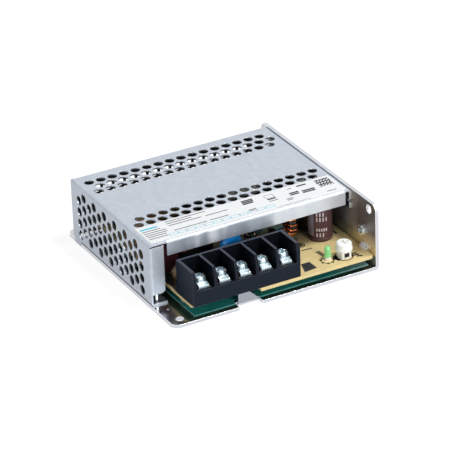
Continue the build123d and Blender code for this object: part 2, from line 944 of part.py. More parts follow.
def make_terminal_housing():
    top = board_top + block_height
    floor = board_top + block_floor
    base = [
        (block_front, board_top),
        (block_rear, board_top),
        (block_rear, top),
        (block_rear - divider, top),
        (block_rear - divider, floor),
        (block_front + block_lip, floor),
        (block_front + block_lip, board_top + block_base),
        (block_front, board_top + block_base),
    ]
    wall = [
        (block_front, board_top),
        (block_rear, board_top),
        (block_rear, top),
        (block_front + block_nose_length, top),
        (block_front, top - block_nose_drop),
    ]
    nose = [(block_front, top - block_nose_drop, block_nose_corner),
            (block_front + block_nose_length, top, block_nose_corner)]
    body = across(base, (block_left, block_right))
    for i in range(poles + 1):
        x = block_left + end_wall / 2 + i * pole_pitch
        half = divider / 2 if 0 < i < poles else end_wall / 2
        body += across(wall, (x - half, x + half), nose)

    # Pockets under the screws, and passages for the contacts' pins
    pockets = []
    for x in contact_places:
        pockets.append(post(x, terminal_screw_y, (floor - terminal_pocket_depth, floor + 0.01),
                            terminal_screw + 4 * terminal_screw_gap))
        pockets.append(post(x, contact_pin_y, (board_top - 1, floor + 0.01), contact_pin + 2 * contact_pin_gap))
    return body - pockets


def make_terminal_contacts():
    contacts = []
    for x in contact_places:
        strip = box_between((x - contact_width / 2, x + contact_width / 2), (contact_front, contact_rear),
                            (contact_top - contact_thickness, contact_top))
        strip -= rod(x, terminal_screw_y, (contact_top - 2, contact_top + 1), terminal_screw / 2 + press_gap)
        pin = post(x, contact_pin_y, (lead_foot, contact_top - contact_thickness), contact_pin)
        contacts.append(strip + pin)
    return group(contacts)


def make_clamp_plates():
    """Saddles that stand on the contacts with a lip in front and one behind."""
    low = contact_top + clamp_rise
    rear = clamp_front + clamp_length
    profile = [
        (clamp_front, contact_top),
        (clamp_front + clamp_lip_thickness, contact_top),
        (clamp_front + clamp_lip_thickness, low - clamp_slope_drop),
        (clamp_front + clamp_slope, low),
        (rear - clamp_lip_thickness, low),
        (rear - clamp_lip_thickness, contact_top),
        (rear, contact_top),
        (rear, clamp_top),
        (clamp_front + clamp_slope, clamp_top),
        (clamp_front, clamp_top - clamp_slope_drop),
    ]
    clamps = []
    for x in contact_places:
        plate = across(profile, (x - clamp_width / 2, x + clamp_width / 2))
        hole_radius = terminal_screw / 2 + terminal_screw_gap
        clamps.append(plate - rod(x, terminal_screw_y, (low - 1, clamp_top + 1), hole_radius))
    return group(clamps)


def make_terminal_screws():
    """Pan head screws with a bevelled rim and a crossed recess."""
    seat = clamp_top
    top = seat + terminal_head_height
    foot = contact_top - terminal_screw_reach
    profile = [
        (0, foot),
        (terminal_screw / 2, foot),
        (terminal_screw / 2, seat),
        (terminal_head / 2, seat),
        (terminal_head / 2, top - terminal_head_edge),
        (terminal_head / 2 - terminal_head_edge, top),
        (0, top),
    ]
    screws = []
    for x in contact_places:
        recess = Pos(x, terminal_screw_y, top) * cross_recess(slot_width, slot_length, slot_depth)
        screws.append(turned(profile, x, terminal_screw_y) - recess)
    return group(screws)


def make_status_lamp():
    x, y = lamp_place
    z = board_top + lamp_stand
    dome = z + lamp_length - lamp_radius
    body = rod(x, y, (z, z + lamp_flange), lamp_flange_radius)
    body += rod(x, y, (z, dome), lamp_radius)
    return body + Pos(x, y, dome) * Sphere(lamp_radius)


def make_lamp_leads():
    return group(board_leads(lamp_place, lamp_lead_pitch, board_top + lamp_stand, lamp_lead))


def make_trimmer_base():
    """A small box with a window in front and the axle that the knob turns on."""
    x, y = trimmer_place
    high = board_top + trimmer_height
    base = post(x, y, (board_top, high), trimmer_width, trimmer_depth)
    base = fillet(base.edges().filter_by(Axis.Z), trimmer_corner)
    front = y - trimmer_depth / 2
    window_foot = board_top + trimmer_window_foot
    base -= box_between((x - trimmer_window_width / 2, x + trimmer_window_width / 2),
                        (front - 1, front + trimmer_window_depth),
                        (window_foot, window_foot + trimmer_window_height))
    return base + rod(x, y, (high, high + knob_flange + knob_height - knob_slot_depth - knob_roof), trimmer_axle)


def make_trimmer_knob():
    x, y = trimmer_place
    low = board_top + trimmer_height + trimmer_running_gap
    mid = low + knob_flange
    high = mid + knob_height
    bore = trimmer_axle + trimmer_axle_gap
    bore_top = high - knob_slot_depth - knob_roof
    profile = [
        (bore, low),
        (knob_flange_radius, low),
        (knob_flange_radius, mid),
        (knob_radius, mid),
        (knob_radius, high - knob_edge),
        (knob_radius - knob_edge, high),
        (0, high),
        (0, bore_top),
        (bore, bore_top),
    ]
    recess = cross_recess(knob_slot_width, knob_slot_length, knob_slot_depth)
    return turned(profile, x, y) - Pos(x, y, high) * recess


def can_capacitor(place, radius, top, pitch, wide=lead):
    """A sleeved can with a rolled groove near its foot and two leads."""
    x, y = place
    groove = board_top + cap_groove_height
    profile = [
        (0, board_top),
        (radius, board_top),
        (radius, groove - cap_groove),
        (radius - cap_groove, groove),
        (radius, groove + cap_groove),
        (radius, top - cap_edge),
        (radius - cap_edge, top),
        (0, top),
    ]
    return turned(profile, x, y) + board_leads(place, pitch, board_top + 1, wide)


def make_output_capacitors():
    top = cover_inner_top - output_cap_clearance
    return group([can_capacitor(place, output_cap_radius, top, output_cap_lead_pitch)
                  for place in output_caps])


def make_bulk_capacitor():
    top = cover_inner_top - bulk_cap_clearance
    return can_capacitor(bulk_cap, bulk_cap_radius, top, bulk_cap_lead_pitch, bulk_cap_lead)


def make_small_capacitors():
    top = board_top + small_cap_height
    return group([can_capacitor(place, small_cap_radius, top, small_cap_lead_pitch)
                  for place in small_caps])


def device_lead_rows():
    """The y positions of the power devices' leads."""
    return [y + i * device_lead_pitch for y in device_places for i in (-1, 0, 1)]


def make_wall_device_frames():
    """Metal tabs against the pads, and leads from the bodies down to the board."""
    frames = []
    for y in device_places:
        tab = box_between((device_face - device_tab, device_face),
                          (y - device_width / 2, y + device_width / 2),
                          (device_foot + device_foot_lip, device_top))
        corners = tab.edges().filter_by(Axis.X).group_by(Axis.Z)[-1]
        tab = chamfer(corners, device_tab_corner)
        frames.append(tab - cross_rod((device_face - device_tab - 1, device_face + 1), y, device_screw_z,
                                      device_screw / 2 + device_screw_gap))
    for y in device_lead_rows():
        frames.append(post(device_lead_x, y, (lead_foot, device_foot), device_lead_thickness, device_lead_width))
    return group(frames)


def make_wall_device_bodies():
    """Moulded bodies in front of the tabs, with a lip under each."""
    bodies = []
    outer_x = device_face - device_thickness
    for y in device_places:
        wide = (y - device_width / 2, y + device_width / 2)
        high = device_top - device_body_drop
        body = box_between((outer_x, device_face - device_tab), wide, (device_foot, high))
        edge = body.edges().filter_by(Axis.Y).sort_by_distance((outer_x, y, high))[0]
        body = chamfer(edge, device_body_edge)
        lip = box_between((device_face - device_tab, device_face - 0.1), wide,
                          (device_foot, device_foot + device_foot_lip))
        bodies.append(body + lip)
    return group(bodies)


def make_insulating_pads():
    pads = []
    for y in device_places:
        half = device_width / 2 + device_pad_margin
        pad = box_between((wall_inner - device_pad, wall_inner), (y - half, y + half),
                          (device_foot - device_pad_margin, device_top + device_pad_margin))
        pads.append(pad - cross_rod((device_face - 1, half_width), y, device_screw_z,
                                    device_screw / 2 + device_screw_gap))
    return group(pads)


def make_device_screws():
    """Screws from the tabs into the wall's threaded holes, flush outside."""
    tab_face = device_face - device_tab
    screws = []
    for y in device_places:
        head = cross_rod((tab_face - device_screw_head_height, tab_face), y, device_screw_z,
                         device_screw_head / 2)
        screws.append(head + cross_rod((tab_face, half_width), y, device_screw_z, device_screw / 2))
    return group(screws)


def box_capacitor(place, size, leads):
    x, y = place
    case = post(x, y, (board_top, board_top + size[2]), size[0], size[1])
    case = chamfer(case.edges().filter_by(Axis.Z), box_cap_edge)
    return case + [post(u, v, (lead_foot, board_top + 1), lead) for u, v in leads]


def make_line_capacitor():
    return box_capacitor(line_cap, line_cap_size, line_cap_leads)


def make_film_capacitors():
    return group([box_capacitor(place, film_cap_size, paired(place, film_cap_pitch))
                  for place in film_caps])


def disc_part(place, radius, thickness, lift, pitch):
    """A dipped disc standing on edge on its two leads."""
    x, y = place
    body = Rot(90, 0, 0) * Cylinder(radius, thickness)
    body = chamfer(body.edges().filter_by(GeomType.CIRCLE), disc_edge)
    body = Pos(x, y, board_top + lift) * body
    return body + board_leads(place, pitch, board_top + lift)


def make_disc_capacitors():
    return group([disc_part(place, disc_radius, disc_thickness, disc_lift, disc_pitch)
                  for place in disc_caps])


def make_varistor():
    return disc_part(varistor, varistor_radius, varistor_thickness, varistor_lift, varistor_pitch)


def make_fuse_tube():
    x, y = fuse
    return cross_rod((x - fuse_length / 2, x + fuse_length / 2), y, board_top + fuse_lift, fuse_radius)


def make_fuse_caps():
    """Metal end caps with their leads bent down into the board."""
    x, y = fuse
    z = board_top + fuse_lift
    half = lead / 2
    caps = []
    for side in (-1, 1):
        end = x + side * fuse_length / 2
        span = sorted((end - side * fuse_cap_length, end + side * fuse_cap_wall))
        bore = sorted((end - side * (fuse_cap_length + 1), end))
        cap = cross_rod(span, y, z, fuse_radius + fuse_cap_wall) - cross_rod(bore, y, z, fuse_radius)
        lead_x = x + side * fuse_pitch / 2
        arm = sorted((end + side * fuse_cap_wall / 2, lead_x + side * half))
        cap += box_between(arm, (y - half, y + half), (z - half, z + half))
        caps.append(cap + post(lead_x, y, (lead_foot, z), lead))
    return group(caps)


def ring_core(outer, inner, wide):
    """A ring about Z, centred on the origin."""
    section = Pos((outer + inner) / 2, 0) * Rectangle(outer - inner, wide)
    return revolve(Plane.XZ * section, Axis.Z)


def ring_loops(outer, inner, wide, gauge, angles):
    """Wire loops round a ring's section, one at each angle."""
    inside = Rectangle(outer - inner + 2 * loop_play, wide + 2 * loop_play)
    outside = Rectangle(outer - inner + 2 * (loop_play + gauge), wide + 2 * (loop_play + gauge))
    outside = chamfer(outside.vertices(), gauge * 0.6)
    middle = Plane.XZ.offset(-gauge / 2)
    loop = extrude(middle * (outside - inside), gauge)
    loop = Pos((outer + inner) / 2, 0, 0) * loop
    return [Rot(0, 0, angle) * loop for angle in angles]


def fan(count, step, middle):
    """Angles a step apart round a middle angle."""
    return [middle + step * (i - (count - 1) / 2) for i in range(count)]


def stand_ring(shape):
    """Set a ring upright, facing the front, with its wire on the board."""
    x, y = ring_choke
    return Pos(x, y, board_top + ring_outer + loop_play + ring_wire) * (Rot(90, 0, 0) * shape)


def make_ring_choke_core():
    return stand_ring(ring_core(ring_outer, ring_inner, ring_width))


def make_ring_choke_windings():
    """Two windings on the ring's sides, and one turn under it."""
    right = fan(ring_turns, ring_turn_angle, -ring_droop)
    left = fan(ring_turns, ring_turn_angle, 180 + ring_droop)
    angles = right + left + [-90]
    loops = ring_loops(ring_outer, ring_inner, ring_width, ring_wire, angles)
    return group([stand_ring(loop) for loop in loops])


def stand_coil(shape):
    """Set a ring upright with its edge to the front, and its wire on the board."""
    x, y = output_choke
    return Pos(x, y, board_top + coil_outer + loop_play + coil_wire) * (Rot(0, 90, 0) * shape)


def make_output_choke_core():
    return stand_coil(ring_core(coil_outer, coil_inner, coil_width))


def make_output_choke_winding():
    angles = fan(coil_turns, coil_turn_angle, -90)
    loops = ring_loops(coil_outer, coil_inner, coil_width, coil_wire, angles)
    return group([stand_coil(loop) for loop in loops])


def make_line_choke_core():
    x, y = line_choke
    top = board_top + line_core_height
    deep = (y - line_core_depth / 2, y + line_core_depth / 2)
    frame = box_between((x - line_core_width / 2, x + line_core_width / 2), deep, (board_top, top))
    inside = line_core_width / 2 - line_core_leg
    return frame - box_between((x - inside, x + inside), deep, (board_top + line_core_leg, top - line_core_leg))


def make_line_choke_windings():
    x, y = line_choke
    span = (board_top + line_core_leg, board_top + line_core_height - line_core_leg)
    coils = []
    for side in (-1, 1):
        leg_x = x + side * (line_core_width - line_core_leg) / 2
        coil = post(leg_x, y, span, line_core_leg + 2 * line_coil, line_core_depth + 2 * line_coil)
        coil = fillet(coil.edges().filter_by(Axis.Z), line_coil)
        coils.append(coil - post(leg_x, y, span, line_core_leg, line_core_depth))
    return group(coils)


def make_transformer_core():
    """Two E halves that meet inside the winding."""
    x, y = transformer
    end = core_length / 2
    back = end - core_back
    side = core_breadth / 2
    inner = side - core_leg
    centre = core_centre_leg / 2
    outline = [
        (0, -side),
        (end, -side),
        (end, side),
        (0, side),
        (0, inner),
        (back, inner),
        (back, centre),
        (0, centre),
        (0, -centre),
        (back, -centre),
        (back, -inner),
        (0, -inner),
    ]
    right = upright(outline, (-core_thickness / 2, core_thickness / 2))
    left = Rot(0, 0, 180) * right
    return group([Pos(x, y, transformer_z) * half for half in (right, left)])


def make_transformer_bobbin():
    """A tube on the centre leg with an end plate and a pin rail at each end."""
    x, y = transformer
    reach = core_length / 2 - core_back
    side = core_breadth / 2 - core_leg - winding_gap
    up = core_thickness / 2 + bobbin_wall + winding_build
    body = Box(2 * reach, core_centre_leg + 2 * bobbin_wall, core_thickness + 2 * bobbin_wall)
    for end in (-1, 1):
        plate = sorted((end * reach, end * (reach - bobbin_wall)))
        body += box_between(plate, (-side, side), (-up, up))
        rail = sorted((end * (reach - bobbin_wall), end * (reach + pin_rail)))
        body += box_between(rail, (-side, side), (-up - bobbin_lift, -core_thickness / 2 - winding_gap))
    body -= Box(2 * reach + 2, core_centre_leg, core_thickness)
    return Pos(x, y, transformer_z) * body


def make_transformer_winding():
    x, y = transformer
    reach = core_length / 2 - core_back - bobbin_wall
    side = core_breadth / 2 - core_leg - winding_gap
    up = core_thickness / 2 + bobbin_wall + winding_build - winding_below_rim
    coil = Box(2 * reach, 2 * side, 2 * up)
    coil = fillet(coil.edges().filter_by(Axis.X), winding_edge)
    tube = Box(2 * reach + 1, core_centre_leg + 2 * bobbin_wall, core_thickness + 2 * bobbin_wall)
    return Pos(x, y, transformer_z) * (coil - tube)


def make_bridge_rectifier():
    x, y = bridge
    left = x - bridge_width / 2
    right = x + bridge_width / 2
    low = board_top + bridge_lift
    high = low + bridge_height
    outline = [
        (left, low),
        (right, low),
        (right, high),
        (left + bridge_corner, high),
        (left, high - bridge_corner),
    ]
    return along(outline, (y - bridge_thickness / 2, y + bridge_thickness / 2))


def make_bridge_leads():
    span = (lead_foot, board_top + bridge_lift)
    return group([post(x, y, span, bridge_lead) for x, y in bridge_leads])


def chip_shapes():
    """Place, length and pins a side of the controller and the coupler."""
    return [(control_chip, chip_length, 4), (coupler, coupler_length, 2)]


def make_chips():
    low = board_top + chip_stand
    bodies = []
    for (x, y), long, pins in chip_shapes():
        body = post(x, y, (low, low + chip_height), long, chip_width)
        notch = rod(x - long / 2, y, (low + chip_height - chip_stand, low + chip_height + 1), chip_notch)
        bodies.append(body - notch)
    return group(bodies)


def make_chip_pins():
    """Flat pins that leave the bodies' sides and turn down to the board."""
    high = board_top + chip_stand + chip_height / 2
    pins = []
    for (x, y), long, count in chip_shapes():
        for pin_x in fan(count, chip_pitch, x):
            for side in (-1, 1):
                root = y + side * chip_width / 2
                tip = root + side * chip_pin_reach
                arm = box_between((pin_x - chip_pin_width / 2, pin_x + chip_pin_width / 2),
                                  sorted((root, tip)), (high - chip_pin_thickness, high))
                leg = box_between((pin_x - chip_pin_tip / 2, pin_x + chip_pin_tip / 2),
                                  sorted((tip - side * chip_pin_thickness, tip)), (board_top, high))
                pins.append(arm + leg)
    return group(pins)


def make_resistors():
    z = board_top + resistor_radius
    half = lead / 2
    shapes = []
    for x, y in resistors:
        body = cross_rod((x - resistor_length / 2, x + resistor_length / 2), y, z, resistor_radius)
        reach = resistor_pitch / 2 + half
        body += box_between((x - reach, x + reach), (y - half, y + half), (z - half, z + half))
        shapes.append(body + board_leads((x, y), resistor_pitch, z))
    return group(shapes)


makers = {
    "chassis": make_chassis,
    "cover": make_cover,
    "wall_bushes": make_wall_bushes,
    "cover_screws": make_cover_screws,
    "top_label": make_top_label,
    "board_standoffs": make_board_standoffs,
    "board_screws": make_board_screws,
    "insulating_film": make_insulating_film,
    "circuit_board": make_circuit_board,
    "terminal_housing": make_terminal_housing,
    "terminal_contacts": make_terminal_contacts,
    "clamp_plates": make_clamp_plates,
    "terminal_screws": make_terminal_screws,
    "status_lamp": make_status_lamp,
    "lamp_leads": make_lamp_leads,
    "trimmer_base": make_trimmer_base,
    "trimmer_knob": make_trimmer_knob,
    "output_capacitors": make_output_capacitors,
    "bulk_capacitor": make_bulk_capacitor,
    "small_capacitors": make_small_capacitors,
    "wall_device_frames": make_wall_device_frames,
    "wall_device_bodies": make_wall_device_bodies,
    "insulating_pads": make_insulating_pads,
    "device_screws": make_device_screws,
    "line_capacitor": make_line_capacitor,
    "film_capacitors": make_film_capacitors,
    "disc_capacitors": make_disc_capacitors,
    "varistor": make_varistor,
    "fuse_tube": make_fuse_tube,
    "fuse_caps": make_fuse_caps,
    "ring_choke_core": make_ring_choke_core,
    "ring_choke_windings": make_ring_choke_windings,
    "output_choke_core": make_output_choke_core,
    "output_choke_winding": make_output_choke_winding,
    "line_choke_core": make_line_choke_core,
    "line_choke_windings": make_line_choke_windings,
    "transformer_core": make_transformer_core,
    "transformer_bobbin": make_transformer_bobbin,
    "transformer_winding": make_transformer_winding,
    "bridge_rectifier": make_bridge_rectifier,
    "bridge_leads": make_bridge_leads,
    "chips": make_chips,
    "chip_pins": make_chip_pins,
    "resistors": make_resistors,
}

for name, maker in makers.items():
    save(name, maker())
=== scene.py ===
import math

import bmesh
import bpy
from mathutils import Matrix, Vector


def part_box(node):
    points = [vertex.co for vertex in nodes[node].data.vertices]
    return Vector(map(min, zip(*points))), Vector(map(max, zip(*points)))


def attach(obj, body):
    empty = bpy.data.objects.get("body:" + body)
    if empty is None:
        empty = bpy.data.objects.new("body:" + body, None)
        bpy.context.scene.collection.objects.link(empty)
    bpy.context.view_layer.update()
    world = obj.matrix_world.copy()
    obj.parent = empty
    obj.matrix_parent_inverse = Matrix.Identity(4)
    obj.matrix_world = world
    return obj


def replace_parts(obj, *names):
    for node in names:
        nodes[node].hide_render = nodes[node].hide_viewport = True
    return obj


MM = 0.001
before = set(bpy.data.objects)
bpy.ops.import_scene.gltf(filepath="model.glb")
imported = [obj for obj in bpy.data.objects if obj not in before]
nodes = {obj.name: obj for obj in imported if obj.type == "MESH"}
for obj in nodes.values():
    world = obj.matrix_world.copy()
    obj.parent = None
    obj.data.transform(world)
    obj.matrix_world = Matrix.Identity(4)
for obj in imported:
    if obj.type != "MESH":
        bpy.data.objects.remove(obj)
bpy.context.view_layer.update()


def box_in_mm(node):
    """The low and the high corner of a CAD node's box, in mm."""
    low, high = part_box(node)
    return low / MM, high / MM


def centre_of(node):
    """The middle of a CAD node's box, in mm."""
    low, high = box_in_mm(node)
    return (low + high) / 2


# Materials

# Right end of the cover's front flange, and a place 0.1 mm short of the wall's inner face, in mm
flange_right = -41
wall_start = 46.8


def rgb(code):
    """Scene colour of a display colour written as six hex digits."""
    values = []
    for i in (0, 2, 4):
        c = int(code[i:i + 2], 16) / 255
        values.append(c / 12.92 if c <= 0.04045 else ((c + 0.055) / 1.055) ** 2.4)
    return (*values, 1.0)


class Surface:
    """A procedural material with grain in its colour, its roughness and its height; sizes in mm."""

    def __init__(self, name, colour, rough=0.5, metal=0.0, grain=0.6, spread=0.05, rough_spread=0.06,
                 bump=0.02, edge=0.0, wear=None, wear_reach=None, coat=0.0, specular=0.5):
        self.mat = bpy.data.materials.new(name)
        self.mat.use_nodes = True
        self.nodes = self.mat.node_tree.nodes
        self.links = self.mat.node_tree.links
        self.bsdf = self.nodes["Principled BSDF"]
        self.bsdf.inputs["Metallic"].default_value = metal
        self.bsdf.inputs["IOR"].default_value = 1.45
        self.bsdf.inputs["Specular IOR Level"].default_value = specular
        self.bsdf.inputs["Coat Weight"].default_value = coat
        self.bsdf.inputs["Coat Roughness"].default_value = 0.08
        self.place = self.nodes.new("ShaderNodeTexCoord").outputs["Object"]
        coarse = self.noise(grain * 6, 3)
        fine = self.noise(grain, 4)
        self.colour = self.shade(rgb(colour), coarse, spread)
        self.link(self.ranged(coarse, rough - rough_spread, rough + rough_spread), "Roughness")
        rounded = self.rounded(edge) if edge else None
        # Paler edges: real worn edges on some materials, and a painted highlight on the bright plate and the
        # block
        if wear:
            reach = self.rounded(wear_reach) if wear_reach else rounded
            self.colour = self.mix(self.edges(reach), self.colour, rgb(wear))
        self.link(self.colour, "Base Color")
        self.normal = self.bump(fine, bump, rounded)
        self.link(self.normal, "Normal")

    def link(self, output, socket):
        """Feed an output into a socket of the shader."""
        self.links.new(output, self.bsdf.inputs[socket])

    def math(self, operation, first, second=None):
        """A sum done on sockets or numbers."""
        node = self.nodes.new("ShaderNodeMath")
        node.operation = operation
        for socket, value in zip(node.inputs, (first, second)):
            if isinstance(value, (int, float)):
                socket.default_value = value
            elif value is not None:
                self.links.new(value, socket)
        return node.outputs["Value"]

    def noise(self, size, detail=3, stretch=None, turn=0.0):
        """Noise with features of a size in mm, stretched along an axis and turned about Z if asked."""
        place = self.place
        if stretch:
            mapping = self.nodes.new("ShaderNodeMapping")
            mapping.inputs["Rotation"].default_value = (0, 0, math.radians(turn))
            mapping.inputs["Scale"].default_value = stretch
            self.links.new(place, mapping.inputs["Vector"])
            place = mapping.outputs["Vector"]
        node = self.nodes.new("ShaderNodeTexNoise")
        node.inputs["Scale"].default_value = 1 / (size * MM)
        node.inputs["Detail"].default_value = detail
        self.links.new(place, node.inputs["Vector"])
        return node.outputs["Fac"]

    def cells(self, size):
        """A random value in each cell of a size in mm."""
        node = self.nodes.new("ShaderNodeTexVoronoi")
        node.inputs["Scale"].default_value = 1 / (size * MM)
        self.links.new(self.place, node.inputs["Vector"])
        split = self.nodes.new("ShaderNodeSeparateColor")
        self.links.new(node.outputs["Color"], split.inputs["Color"])
        return split.outputs["Red"]

    def ranged(self, value, low, high, start=0.3, end=0.7):
        """A value that goes from low to high while the one given goes from start to end."""
        node = self.nodes.new("ShaderNodeMapRange")
        node.inputs["From Min"].default_value = start
        node.inputs["From Max"].default_value = end
        node.inputs["To Min"].default_value = low
        node.inputs["To Max"].default_value = high
        self.links.new(value, node.inputs["Value"])
        return node.outputs["Result"]

    def mix(self, factor, first, second):
        """Colours, or sockets that give them, mixed by a factor."""
        node = self.nodes.new("ShaderNodeMix")
        node.data_type = "RGBA"
        self.links.new(factor, node.inputs["Factor"])
        for socket, value in (("A", first), ("B", second)):
            if isinstance(value, tuple):
                node.inputs[socket].default_value = value
            else:
                self.links.new(value, node.inputs[socket])
        return node.outputs["Result"]

    def shade(self, colour, value, spread):
        """A colour made darker and lighter by a value."""
        dark = tuple(c * (1 - spread) for c in colour[:3]) + (1.0,)
        light = tuple(min(1.0, c * (1 + spread)) for c in colour[:3]) + (1.0,)
        return self.mix(self.ranged(value, 0, 1), dark, light)

    def bump(self, height, depth, normal=None):
        """A normal raised by a height; depth in mm."""
        node = self.nodes.new("ShaderNodeBump")
        node.inputs["Strength"].default_value = 1.0
        node.inputs["Distance"].default_value = depth * MM
        self.links.new(height, node.inputs["Height"])
        if normal is not None:
            self.links.new(normal, node.inputs["Normal"])
        return node.outputs["Normal"]

    def rounded(self, radius):
        """A normal that turns smoothly over edges; radius in mm."""
        node = self.nodes.new("ShaderNodeBevel")
        node.samples = 6
        node.inputs["Radius"].default_value = radius * MM
        return node.outputs["Normal"]

    def edges(self, rounded):
        """1 on the edges, where the rounded normal leaves the face's own, else 0."""
        face = self.nodes.new("ShaderNodeNewGeometry").outputs["Normal"]
        node = self.nodes.new("ShaderNodeVectorMath")
        node.operation = "DOT_PRODUCT"
        self.links.new(rounded, node.inputs[0])
        self.links.new(face, node.inputs[1])
        return self.ranged(node.outputs["Value"], 1, 0, 0.86, 0.995)

    def along(self, axis):
        """The place along an axis, in metres."""
        split = self.nodes.new("ShaderNodeSeparateXYZ")
        self.links.new(self.place, split.inputs["Vector"])
        return split.outputs[axis]

    def facing(self, axis):
        """1 on faces that look along an axis, either way, else 0."""
        normal = self.nodes.new("ShaderNodeTexCoord").outputs["Normal"]
        split = self.nodes.new("ShaderNodeSeparateXYZ")
        self.links.new(normal, split.inputs["Vector"])
        return self.ranged(self.math("ABSOLUTE", split.outputs[axis]), 0, 1, 0.6, 0.9)

    def within(self, low, high):
        """1 in a box between two corners in mm, else 0."""
        inside = None
        for axis, start, end in zip("XYZ", low, high):
            place = self.along(axis)
            for test, limit in (("GREATER_THAN", start), ("LESS_THAN", end)):
                passed = self.math(test, place, limit * MM)
                inside = self.math("MULTIPLY", inside, passed) if inside else passed
        return inside

    def above(self, axis, limit):
        """1 where the place along an axis is above a limit in mm, else 0."""
        return self.math("GREATER_THAN", self.along(axis), limit * MM)


def galvanised():
    """Zinc-coated sheet: faint spangle and slanting streaks, painted blurred reflections in bands on the
    front, painted light growing towards the right, and painted shade on the side walls and all over the
    inside.
    """
    s = Surface("galvanised", "C4CCD7", 0.36, 0.6, grain=0.5, spread=0.025, rough_spread=0.05,
                bump=0.0012, edge=0.16, wear="F2F4F7")
    streaks = s.noise(1.1, 3, (1.0, 0.16, 1.0), 38)
    colour = s.mix(s.ranged(s.cells(2.4), 0, 0.16, 0, 1), s.colour, rgb("98A0AA"))
    colour = s.mix(s.ranged(streaks, 0, 0.14, 0.4, 0.75), colour, rgb("8F98A3"))
    # Painted blurred reflections: dark and pale bands on the front strip, strongest at its left end and
    # fading towards the right
    fading = s.ranged(s.along("X"), 0.62, 0.12, -0.015, 0.025)
    strip = s.math("MULTIPLY", s.facing("Y"), s.above("X", flange_right))
    strip = s.math("MULTIPLY", strip, fading)
    waves = s.noise(7, 1, (1.0, 0.0, 0.12))
    painted_dark_reflections = s.math("MULTIPLY", s.ranged(waves, 0.75, 0, 0.36, 0.62), strip)
    painted_bright_reflections = s.math("MULTIPLY", s.ranged(waves, 0, 0.9, 0.54, 0.72), strip)
    # Painted light: faces that look forward or back grow paler towards the right
    painted_light_right = s.math("MULTIPLY", s.facing("Y"), s.ranged(s.along("X"), 0, 0.7, 0.0, 0.045))
    colour = s.mix(painted_dark_reflections, colour, rgb("566270"))
    # Painted shade: faces that look sideways are a little darker
    colour = s.mix(s.math("MULTIPLY", s.facing("X"), 0.3), colour, rgb("98A0AA"))
    colour = s.mix(painted_bright_reflections, colour, rgb("F4F6F8"))
    colour = s.mix(painted_light_right, colour, rgb("ECEFF2"))
    low, high = box_in_mm("cover")
    # Painted shade all over the inside of the cover
    inside = s.within((low.x + 0.5, low.y + 0.5, -1), (high.x - 0.5, high.y - 0.5, high.z - 0.5))
    s.link(s.mix(inside, colour, rgb("50565E")), "Base Color")
    return s.mat


def bright_plate():
    """Bare bright sheet, blurred on the wall's open inside, with a painted reflection of the board low on
    the wall's inside, painted shade above it and on the tongue, and painted highlights on a lance and on the
    edges.
    """
    # Painted highlight: the pale edges reach 0.55 mm in, so each edge face of the sheet is pale all across
    s = Surface("bright_plate", "C8CBD1", 0.2, 1.0, grain=0.8, spread=0.04, bump=0.0008, edge=0.2,
                wear="FAFAFC", wear_reach=0.55)
    low, high = box_in_mm("chassis")
    # Painted reflection of the board: a warm cream on the wall's inner face, fading out towards the back
    inner_face = s.within((wall_start, low.y, 2.5), (wall_start + 0.15, high.y, high.z))
    inner_face = s.math("MULTIPLY", inner_face, s.ranged(s.along("Y"), 1, 0, -0.036, -0.024))
    # Painted shade: the wall's inner face turns dark and less metallic towards the top
    painted_wall_shade = s.math("MULTIPLY", s.math("MULTIPLY", inner_face, s.facing("X")),
                  s.ranged(s.along("Z"), 0.1, 0.9, 0.010, 0.016))
    # Painted shade on the tongue
    tongue = s.within((-17.8, low.y - 1, 1.7), (-7.6, -44, 7))
    # Painted highlight: a pale, less metallic patch on the lance in the wall
    painted_lance_highlight = s.within((44.4, -44, 6), (wall_start, -34, 14))
    colour = s.mix(s.math("MULTIPLY", tongue, 0.75), s.colour, rgb("868C96"))
    colour = s.mix(inner_face, colour, rgb("FFF0D2"))
    colour = s.mix(painted_lance_highlight, colour, rgb("FAFAFC"))
    s.link(s.mix(painted_wall_shade, colour, rgb("544A4E")), "Base Color")
    loss = s.math("ADD", painted_wall_shade, s.math("MULTIPLY", painted_lance_highlight, 1.5))
    s.link(s.math("SUBTRACT", 1.0, s.math("MULTIPLY", loss, 0.5)), "Metallic")
    blur = s.math("MULTIPLY", s.above("X", wall_start), s.ranged(s.along("Z"), 0.35, 1.0, 0.008, 0.014))
    blur = s.math("ADD", blur, s.math("MULTIPLY", s.noise(5), 0.3))
    s.link(s.ranged(blur, 0.17, 0.52, 0, 1.3), "Roughness")
    return s.mat


def nickel(name, colour, rough, metal):
    """Plated steel with pale worn edges."""
    return Surface(name, colour, rough, metal, grain=0.3, spread=0.08, rough_spread=0.08,
                   bump=0.004, edge=0.15, wear="F4F6F8").mat


def tin():
    """Tinned leads and contacts."""
    return Surface("tin", "C9C8C4", 0.32, 1.0, grain=0.3, spread=0.1, bump=0.004, edge=0.05).mat


def wire(name, colour):
    """Enamelled copper wire."""
    return Surface(name, colour, 0.24, 0.85, grain=0.4, spread=0.15, bump=0.003, coat=0.5).mat


def board():
    """Pale laminate on top with painted shade where it lies under the cover, and green under the board."""
    s = Surface("board", "D9C48E", 0.55, grain=0.5, spread=0.06, bump=0.004, edge=0.1,
                wear="F0E4B8", wear_reach=0.3, specular=0.2)
    underside = box_in_mm("circuit_board")[0].z + 0.02
    # Painted shade: the top darkens towards the back, right of x = -26 mm
    painted_cover_shade = s.ranged(s.along("Y"), 0, 0.93, -0.024, -0.012)
    painted_cover_shade = s.math("MULTIPLY", painted_cover_shade, s.above("X", -26))
    colour = s.mix(painted_cover_shade, s.colour, rgb("1E2A26"))
    s.link(s.mix(s.above("Z", underside), rgb("2F5E3A"), colour), "Base Color")
    return s.mat


